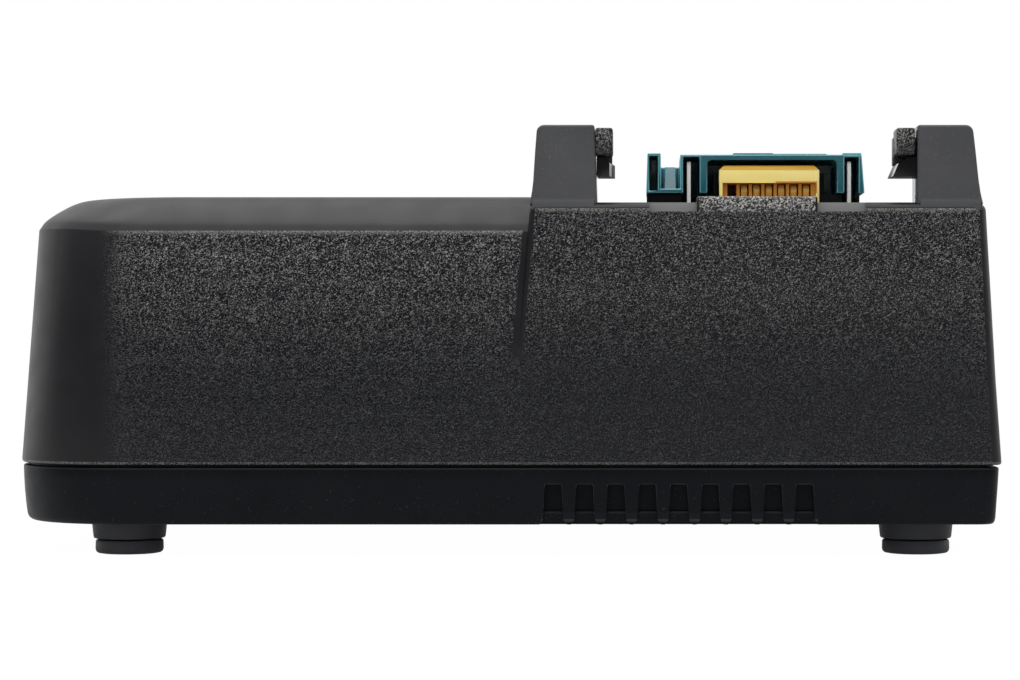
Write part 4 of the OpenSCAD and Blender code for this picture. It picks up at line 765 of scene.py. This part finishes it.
# Rails: upright posts in front, low kerbs behind them
def makeRail(name, node, outer, inner, kerbX):
    post = {"front": -72.5, "rear": -61.5, "edge": 0.5, "outerRadius": 1.3, "innerRadius": 0.5}
    kerb = {"profile": [(-63.5, 67.0), (70.9, 67.0), (70.9, 72.2), (69.4, 72.2), (-63.5, 67.9)], "end": 0.8,
            "edge": 0.5}
    foot = {"profile": [(-71.5, 69.0), (-72.42, 69.0), (-72.5, 68.3), (-72.62, 67.8), (-72.9, 67.3), (-72.9, 66.0),
                        (-71.5, 66.0)], "inset": 0.5}
    radii = [0] * (len(outer) - 1) + [post["outerRadius"], post["innerRadius"]] + [0] * (len(inner) - 1)
    shape = pushed(outer + inner[::-1], post["front"], post["rear"], "Y", radii, 5)
    softenEnd(shape, "Y", post["front"], post["edge"])
    softenEnd(shape, "Y", post["rear"], post["edge"])
    low = pushed(kerb["profile"], *kerbX, "X", [0, 0, kerb["end"], 0, 0])
    softenEnd(low, "X", kerbX[0], kerb["edge"])
    softenEnd(low, "X", kerbX[1], kerb["edge"])
    sides = sorted((outer[0][0], inner[0][0]))
    fillet = pushed(foot["profile"], sides[0] + foot["inset"], sides[1] - foot["inset"], "X")
    rail = asObject(name, shape)
    combine(rail, [low, fillet], "UNION")
    finishPiece(rail, "case", finishes["rail"], [node])


makeRail("railLeft", "rail_left",
         [(5.3, 67.1), (5.36, 67.6), (5.52, 68.4), (5.74, 69.6), (5.98, 71.7), (6.15, 74.5), (6.34, 77.4), (6.7, 82.2)],
         [(18.1, 67.1), (18.08, 68.4), (17.62, 82.2)], (5.69, 11.69))
makeRail("railRight", "rail_right",
         [(91.5, 67.1), (91.4, 67.7), (91.2, 68.5), (91.0, 69.4), (90.66, 71.7), (90.36, 74.5), (90.06, 77.4),
          (89.5, 82.2)],
         [(79.0, 67.1), (79.0, 68.4), (79.0, 82.2)], (85.29, 91.29))
print("rails made")


# Hooks: a grained tab above, and the keel that holds the battery's flange down
def makeHook(name, node, parts):
    edges = {"tab": 0.45, "behind": 0.25, "all": 0.12}
    keel = parts["keel"]
    hook = asObject(name, softBlock(*parts["tab"], edges["tab"], 4))
    shape = pushed(keel["profile"], keel["front"], keel["rear"], "Y", [0.3, 0, 0, 0, 0])
    lead = [v for v in shape.verts if abs(v.co.y - keel["front"]) < 0.01 and abs(v.co.x - keel["edge"]) < keel["reach"]]
    bmesh.ops.translate(shape, vec=(keel["lead"], 0, 0), verts=lead)
    combine(hook, [softBlock(*parts["behind"], edges["behind"]), shape], "UNION")
    roundSharpEdges(hook, edges["all"], 2, 35)
    finishPiece(hook, "case", finishes["hook"], [node])


makeHook("hookLeft", "hook_left", {
    "tab": ((17.75, -72.45, 76.45), (21.1, -65.4, 81.65)),
    "behind": ((17.95, -66.2, 75.0), (20.9, -62.4, 80.2)),
    "keel": {"profile": [(18.0, 72.5), (21.4, 72.5), (21.4, 75.0), (19.6, 76.1), (18.0, 76.1)], "front": -71.3,
             "rear": -62.5, "edge": 21.4, "reach": 0.3, "lead": -0.95}})
makeHook("hookRight", "hook_right", {
    "tab": ((75.0, -72.45, 76.45), (78.55, -65.4, 81.65)),
    "behind": ((74.95, -66.2, 74.9), (79.2, -62.4, 80.3)),
    "keel": {"profile": [(79.2, 72.5), (74.1, 72.5), (75.15, 74.95), (77.6, 76.1), (79.2, 76.1)], "front": -71.3,
             "rear": -62.5, "edge": 74.6, "reach": 0.7, "lead": 0.35}})
print("hooks made")


# Grained block in the front notch
def makeDuctCap():
    cap = {"left": 37.09, "right": 60.02, "edge": 0.45,
           "profile": [(-72.75, 65.35), (-70.95, 65.35), (-70.95, 67.25), (-66.2, 67.25), (-66.2, 68.6),
                       (-72.65, 68.6)],
           "radii": [0, 0, 0, 0, 0.4, 0.55]}
    shape = pushed(cap["profile"], cap["left"], cap["right"], "X", cap["radii"], 4)
    softenEnd(shape, "X", cap["left"], cap["edge"])
    softenEnd(shape, "X", cap["right"], cap["edge"])
    finishPiece(asObject("ductCap", shape), "case", finishes["cap"], ["duct_cap"])


makeDuctCap()
print("duct cap made")


# Shutter over the contacts: a post, a low bridge with its ramp, and the hood
def makeShutter():
    hood = {"x": (34.34, 72.14), "y": (-31.5, -11.5), "z": (71.4, 79.3), "lean": -0.6, "edge": 0.24}
    post = {"x": (27.39, 30.39), "rise": 0.3, "lean": 0.25}
    bridge = {"x": (30.29, 34.44), "top": 72.3, "backTop": 77.6, "back": -16.0,
              "rampX": (31.2, 33.55), "rampY": (-23.0, -16.9, -15.9)}
    bays = {"front": 60.4, "rear": -16.0, "mouth": [(39.9, 60.4), (66.45, 60.4), (66.45, 78.2), (39.9, 78.2)],
            "mouthRear": -13.3, "mouthRadius": 0.8}
    lug = {"at": (32.37, 67.29), "half": 1.5, "y": (-15.1, -12.2), "z": (67.6, 71.9), "rod": 0.75, "rodAt": 69.2}
    (x0, x1), (y0, y1), (low, top) = hood["x"], hood["y"], hood["z"]
    postTop = top + post["rise"]
    postBlock = block((post["x"][0], y0, low), (post["x"][1], y1, postTop))
    outer = cornersNear(postBlock.verts, x=post["x"][0], z=postTop)
    bmesh.ops.translate(postBlock, vec=(post["lean"], 0, 0), verts=outer)
    hoodBlock = block((x0, y0, low), (x1, y1, top))
    bmesh.ops.translate(hoodBlock, vec=(hood["lean"], 0, 0), verts=cornersNear(hoodBlock.verts, x=x1, z=top))
    shutter = asObject("shutter", hoodBlock)
    left, right = bridge["x"]
    crest = bridge["backTop"]
    tip, brow, heel = bridge["rampY"]
    ramp = pushed([(tip, low), (heel, low), (heel, crest), (brow, crest), (tip, bridge["top"])],
                  *bridge["rampX"], "X")
    solids = [postBlock, block((left, y0, low), (right, y1, bridge["top"])),
              block((left, bridge["back"], low), (right, y1, crest)), ramp]
    solids += [block((x - lug["half"], lug["y"][0], lug["z"][0]), (x + lug["half"], lug["y"][1], lug["z"][1]))
               for x in lug["at"]]
    combine(shutter, solids, "UNION")
    cuts = [block((27.99, y0 - 1, 71.9), (29.79, -19.5, 79.0)),
            block((34.94, y0 - 1, bays["front"]), (38.34, bays["rear"], 78.8)),
            pushed(bays["mouth"], y0 - 1, bays["mouthRear"], "Y", [0, 0, bays["mouthRadius"], bays["mouthRadius"]]),
            block((67.98, y0 - 1, bays["front"]), (70.94, bays["rear"], 78.75))]
    combine(shutter, cuts, "DIFFERENCE")
    roundSharpEdges(shutter, hood["edge"], 3, 50, clamp=False)
    lips = [softBlock((67.6, y0 + 0.15, 79.0), (71.5, y1 - 0.15, 79.65), 0.2),
            pushed([(44.9, 79.2), (53.6, 79.2), (53.3, 79.58), (45.3, 79.58)], -31.2, -13.5),
            pushed([(53.4, 79.2), (64.6, 79.2), (64.2, 79.45), (53.4, 79.45)], -31.2, -13.5),
            block((30.6, -13.2, 71.16), (71.0, -12.2, 71.7))]  # the last one closes the gap over the pedestal
    combine(shutter, lips, "UNION")
    rodHoles = [cylinder(lug["rod"], -19.0, -11.0, (x, 0, lug["rodAt"]), "Y", 24) for x in lug["at"]]
    combine(shutter, rodHoles, "DIFFERENCE")
    finishPiece(shutter, "shutter", finishes["teal"], ["terminal_cover"])


makeShutter()
print("shutter made")


# Connector with its comb of contact places, and the sprung contacts in it
def makeConnector():
    seat = {"half": 10.25, "low": 68.5, "high": 77.1, "slant": 1.0, "front": -31.5, "rear": -16.5, "edge": 0.1}
    mouth = {"inset": 0.7, "low": 69.2, "high": 73.5, "depth": 0.9}
    place = {"half": 0.92, "high": 73.3, "depth": 8.0, "firstDepth": 14.0}
    left, right = contactRow["middle"] - seat["half"], contactRow["middle"] + seat["half"]
    front, high, slant = seat["front"], seat["high"], seat["slant"]
    shape = pushed([(left, seat["low"]), (right, seat["low"]), (right, high - slant), (right - slant, high),
                    (left + slant, high), (left, high - slant)], front, seat["rear"])
    crest = [v for v in shape.verts if abs(v.co.y - front) < 0.01 and v.co.z > high - 0.1]
    bmesh.ops.translate(shape, vec=(0, 0.9, 0), verts=crest)
    connector = asObject("dataConnector", shape)
    cuts = [block((left + mouth["inset"], front - 1, mouth["low"]),
                  (right - mouth["inset"], front + mouth["depth"], mouth["high"]))]
    for i in range(contactRow["places"]):
        x = contactRow["middle"] + (i - 3) * contactRow["pitch"]
        depth = place["firstDepth"] if i == 0 else place["depth"]
        cuts.append(block((x - place["half"], front - 1, mouth["low"]),
                          (x + place["half"], front + depth, place["high"])))
    combine(connector, cuts, "DIFFERENCE")
    roundSharpEdges(connector, seat["edge"], 2, 40)
    finishPiece(connector, "case", finishes["yellow"], ["data_connector"])


def makeContacts():
    leaf = {"half": 0.62, "bend": [(-28.6, 73.2), (-29.9, 72.0), (-28.9, 70.6), (-28.5, 69.25)], "thick": 0.45}
    outline = leaf["bend"] + [(y + leaf["thick"], z) for y, z in reversed(leaf["bend"])]
    leaves = []
    for i in range(1, contactRow["places"]):  # the first place is empty
        x = contactRow["middle"] + (i - 3) * contactRow["pitch"]
        leaves.append(pushed(outline, x - leaf["half"], x + leaf["half"], "X", [0, 0.5, 0.5, 0, 0, 0.5, 0.5, 0]))
    row = asObject("dataContacts", leaves[0])
    combine(row, leaves[1:], "UNION")
    finishPiece(row, "case", finishes["amber"], ["data_contacts"])


def makeBlade(name, node):
    tip = {"front": -30.5, "rear": -16.5, "low": 68.2, "high": 78.0, "rearRadius": 0.8, "frontRadius": 1.0,
           "edge": 0.07}
    tail = {"front": -20.5, "rear": -16.6, "top": 69.0, "inset": 0.02}
    low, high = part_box(node)
    x0, x1 = low[0] / toMetres, high[0] / toMetres
    shape = pushed([(tip["front"], tip["low"]), (tip["rear"], tip["low"]), (tip["rear"], tip["high"]),
                    (tip["front"], tip["high"])], x0, x1, "X", [0, 0, tip["rearRadius"], tip["frontRadius"]], 4)
    softenEdges(shape, shape.edges, tip["edge"], 2)
    blade = asObject(name, shape)
    combine(blade, [block((x0 + tail["inset"], tail["front"], low[2] / toMetres),
                          (x1 - tail["inset"], tail["rear"], tail["top"]))], "UNION")
    finishPiece(blade, "case", finishes["blade"], [node])


makeConnector()
makeContacts()
makeBlade("bladeNegative", "blade_negative")
makeBlade("bladePositive", "blade_positive")
print("contacts made")


# Deck grille, light strip, cord bushing and feet
def makeGrille():
    plate = {"x": (30.14, 66.94), "y": (-64.05, -35.05), "low": 65.85, "high": 67.25, "radius": 1.4, "edge": 0.35}
    slots = {"count": 9, "rim": 2.0, "ends": 2.2, "from": 0.2, "to": 0.8, "radius": 1.0, "edge": 0.16}
    (x0, x1), (y0, y1) = plate["x"], plate["y"]
    shape = pushed([(x0, y0), (x1, y0), (x1, y1), (x0, y1)], plate["low"], plate["high"], "Z", [plate["radius"]] * 4)
    softenEnd(shape, "Z", plate["high"], plate["edge"])
    grille = asObject("outletGrille", shape)
    step = (x1 - x0 - 2 * slots["rim"]) / slots["count"]
    front, rear = y0 + slots["ends"], y1 - slots["ends"]
    cuts = []
    for i in range(slots["count"]):
        a, b = [x0 + slots["rim"] + (i + slots[side]) * step for side in ("from", "to")]
        cuts.append(pushed([(a, front), (b, front), (b, rear), (a, rear)], 60, 75, "Z", [slots["radius"]] * 4, 4))
    combine(grille, cuts, "DIFFERENCE")
    roundSharpEdges(grille, slots["edge"], 2, 60)
    finishPiece(grille, "case", finishes["pedestal"], ["outlet_grille"])


def makeLens():
    strip = {"x": (-37.7, -3.7), "y": (-36.5, -29.5), "low": 65.3, "high": 68.85, "radius": 1.1, "edge": 0.4}
    pipe = {"at": (-32.71, -24.71, -16.71, -8.71), "y": -33.0,
            "profile": [(0, 59.8), (1.5, 59.8), (1.7, 60.0), (1.7, 65.6), (0, 65.6)]}
    (x0, x1), (y0, y1) = strip["x"], strip["y"]
    shape = pushed([(x0, y0), (x1, y0), (x1, y1), (x0, y1)], strip["low"], strip["high"], "Z",
                   [strip["radius"]] * 4, 5)
    softenEnd(shape, "Z", strip["high"], strip["edge"])
    lens = asObject("indicatorLens", shape)
    combine(lens, [turned(pipe["profile"], (x, pipe["y"], 0), steps=24) for x in pipe["at"]], "UNION")
    finishPiece(lens, "case", finishes["lens"], ["indicator_lens"])


def makeBushing():
    ring = [(3.75, 63.9), (4.2, 63.42), (6.1, 63.42), (6.5, 63.8), (6.5, 70.4), (8.4, 70.42), (8.68, 70.8),
            (8.66, 71.7), (8.3, 72.25), (7.6, 72.42), (5.0, 72.42), (4.2, 72.1), (3.75, 71.4)]
    bushing = turned(ring, (-57, 0, 31.6), "Y", 64, closed=True)
    finishPiece(asObject("cordBushing", bushing), "case", finishes["rubber"], ["cord_bushing"])


def makeFoot(name, node):
    low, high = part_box(node)
    x, y = [(low[i] + high[i]) / 2 / toMetres for i in (0, 1)]
    profile = [(0, 0.12), (3.2, 0.12), (3.8, 0.0), (5.5, 0.0), (6.05, 0.1), (6.4, 0.4), (6.53, 0.85), (6.5, 2.3),
               (6.35, 2.58), (6.05, 2.66), (3.95, 2.66), (3.95, 4.7), (0, 4.75)]
    foot = turned(profile, (x, y, 0), steps=64)
    finishPiece(asObject(name, foot), "case", finishes["rubber"], [node])


makeGrille()
makeLens()
makeBushing()
for side in ("front", "rear"):
    for hand in ("left", "right"):
        makeFoot("foot" + side.capitalize() + hand.capitalize(), "foot_" + side + "_" + hand)
print("grille, lens, bushing and feet made")


# Stage, world and lamps
def makeStage():
    bench = {"size": 6.0, "colour": (0.6, 0.6, 0.6, 1), "glow": 1.025, "seenShare": 0.965,
             "glossShare": (-0.12, 0.1, 0.12, 1.0)}  # reflections see little of the floor in front of the charger
    bm = bmesh.new()
    bmesh.ops.create_grid(bm, x_segments=1, y_segments=1, size=bench["size"])
    floor = asObject("benchFloor", bm)
    material = bpy.data.materials.new("benchFloor")
    material.use_nodes = True
    tree = material.node_tree
    tree.nodes.clear()
    out = tree.nodes.new("ShaderNodeOutputMaterial")
    diffuse = tree.nodes.new("ShaderNodeBsdfDiffuse")
    diffuse.inputs["Color"].default_value = bench["colour"]
    glow = tree.nodes.new("ShaderNodeEmission")
    glow.inputs["Strength"].default_value = bench["glow"]
    rays = tree.nodes.new("ShaderNodeLightPath")
    coords = tree.nodes.new("ShaderNodeTexCoord").outputs["Object"]
    glossShare = addRange(tree, splitAxes(tree, coords)[1], *bench["glossShare"])
    seen = addMath(tree, "MAXIMUM", rays.outputs["Is Camera Ray"], rays.outputs["Is Transmission Ray"])
    seen = addMath(tree, "MAXIMUM", seen, addMath(tree, "MULTIPLY", rays.outputs["Is Glossy Ray"], glossShare))
    mixer = tree.nodes.new("ShaderNodeMixShader")
    tree.links.new(addMath(tree, "MULTIPLY", seen, bench["seenShare"]), mixer.inputs["Fac"])
    tree.links.new(diffuse.outputs["BSDF"], mixer.inputs[1])
    tree.links.new(glow.outputs["Emission"], mixer.inputs[2])
    tree.links.new(mixer.outputs["Shader"], out.inputs["Surface"])
    floor.data.materials.append(material)


def lightWorld():
    sky = {"ambient": 0.92, "front": 0.06, "back": 1.0, "backFrom": -0.1, "backTo": 0.5,
           "top": 0.7, "topFrom": 0.35, "topTo": 0.9}
    world = bpy.data.worlds.new("studioWorld")
    bpy.context.scene.world = world
    world.use_nodes = True
    tree = world.node_tree
    tree.nodes.clear()
    out = tree.nodes.new("ShaderNodeOutputWorld")
    background = tree.nodes.new("ShaderNodeBackground")
    background.inputs["Color"].default_value = (1, 1, 1, 1)
    rays = tree.nodes.new("ShaderNodeLightPath")
    direction = tree.nodes.new("ShaderNodeTexCoord").outputs["Generated"]
    x, y, z = splitAxes(tree, direction)
    behind = addRange(tree, y, sky["backFrom"], sky["backTo"], sky["front"], sky["back"])
    above = addRange(tree, z, sky["topFrom"], sky["topTo"], sky["front"], sky["top"])
    reflected = addMath(tree, "MAXIMUM", behind, above)
    seen = addMath(tree, "MAXIMUM", rays.outputs["Is Camera Ray"], rays.outputs["Is Transmission Ray"])
    value = addMath(tree, "MAXIMUM", addMath(tree, "MULTIPLY", rays.outputs["Is Glossy Ray"], reflected), seen)
    plain = addMath(tree, "MAXIMUM", rays.outputs["Is Glossy Ray"], seen)
    ambient = addMath(tree, "MULTIPLY", addMath(tree, "SUBTRACT", 1.0, plain), sky["ambient"])
    tree.links.new(addMath(tree, "ADD", value, ambient), background.inputs["Strength"])
    tree.links.new(background.outputs["Background"], out.inputs["Surface"])


def addLamp(name, at, target, size, power):
    data = bpy.data.lights.new(name, "AREA")
    data.shape = "RECTANGLE"
    data.size, data.size_y = size
    data.energy = power
    lamp = bpy.data.objects.new(name, data)
    lamp.visible_camera = False
    lamp.location = at
    lamp.rotation_euler = (Vector(target) - Vector(at)).to_track_quat("-Z", "Y").to_euler()
    bpy.context.scene.collection.objects.link(lamp)


makeStage()
lightWorld()
addLamp("keyLight", (-0.15, -0.45, 0.85), (0.0, -0.05, 0.04), (0.25, 0.15), 0.9)
addLamp("overheadBox", (-0.05, -0.06, 0.9), (0.0, 0.0, 0.04), (1.2, 0.6), 4.5)
print("stage lit")

scene = bpy.context.scene
scene.view_settings.view_transform = "Standard"
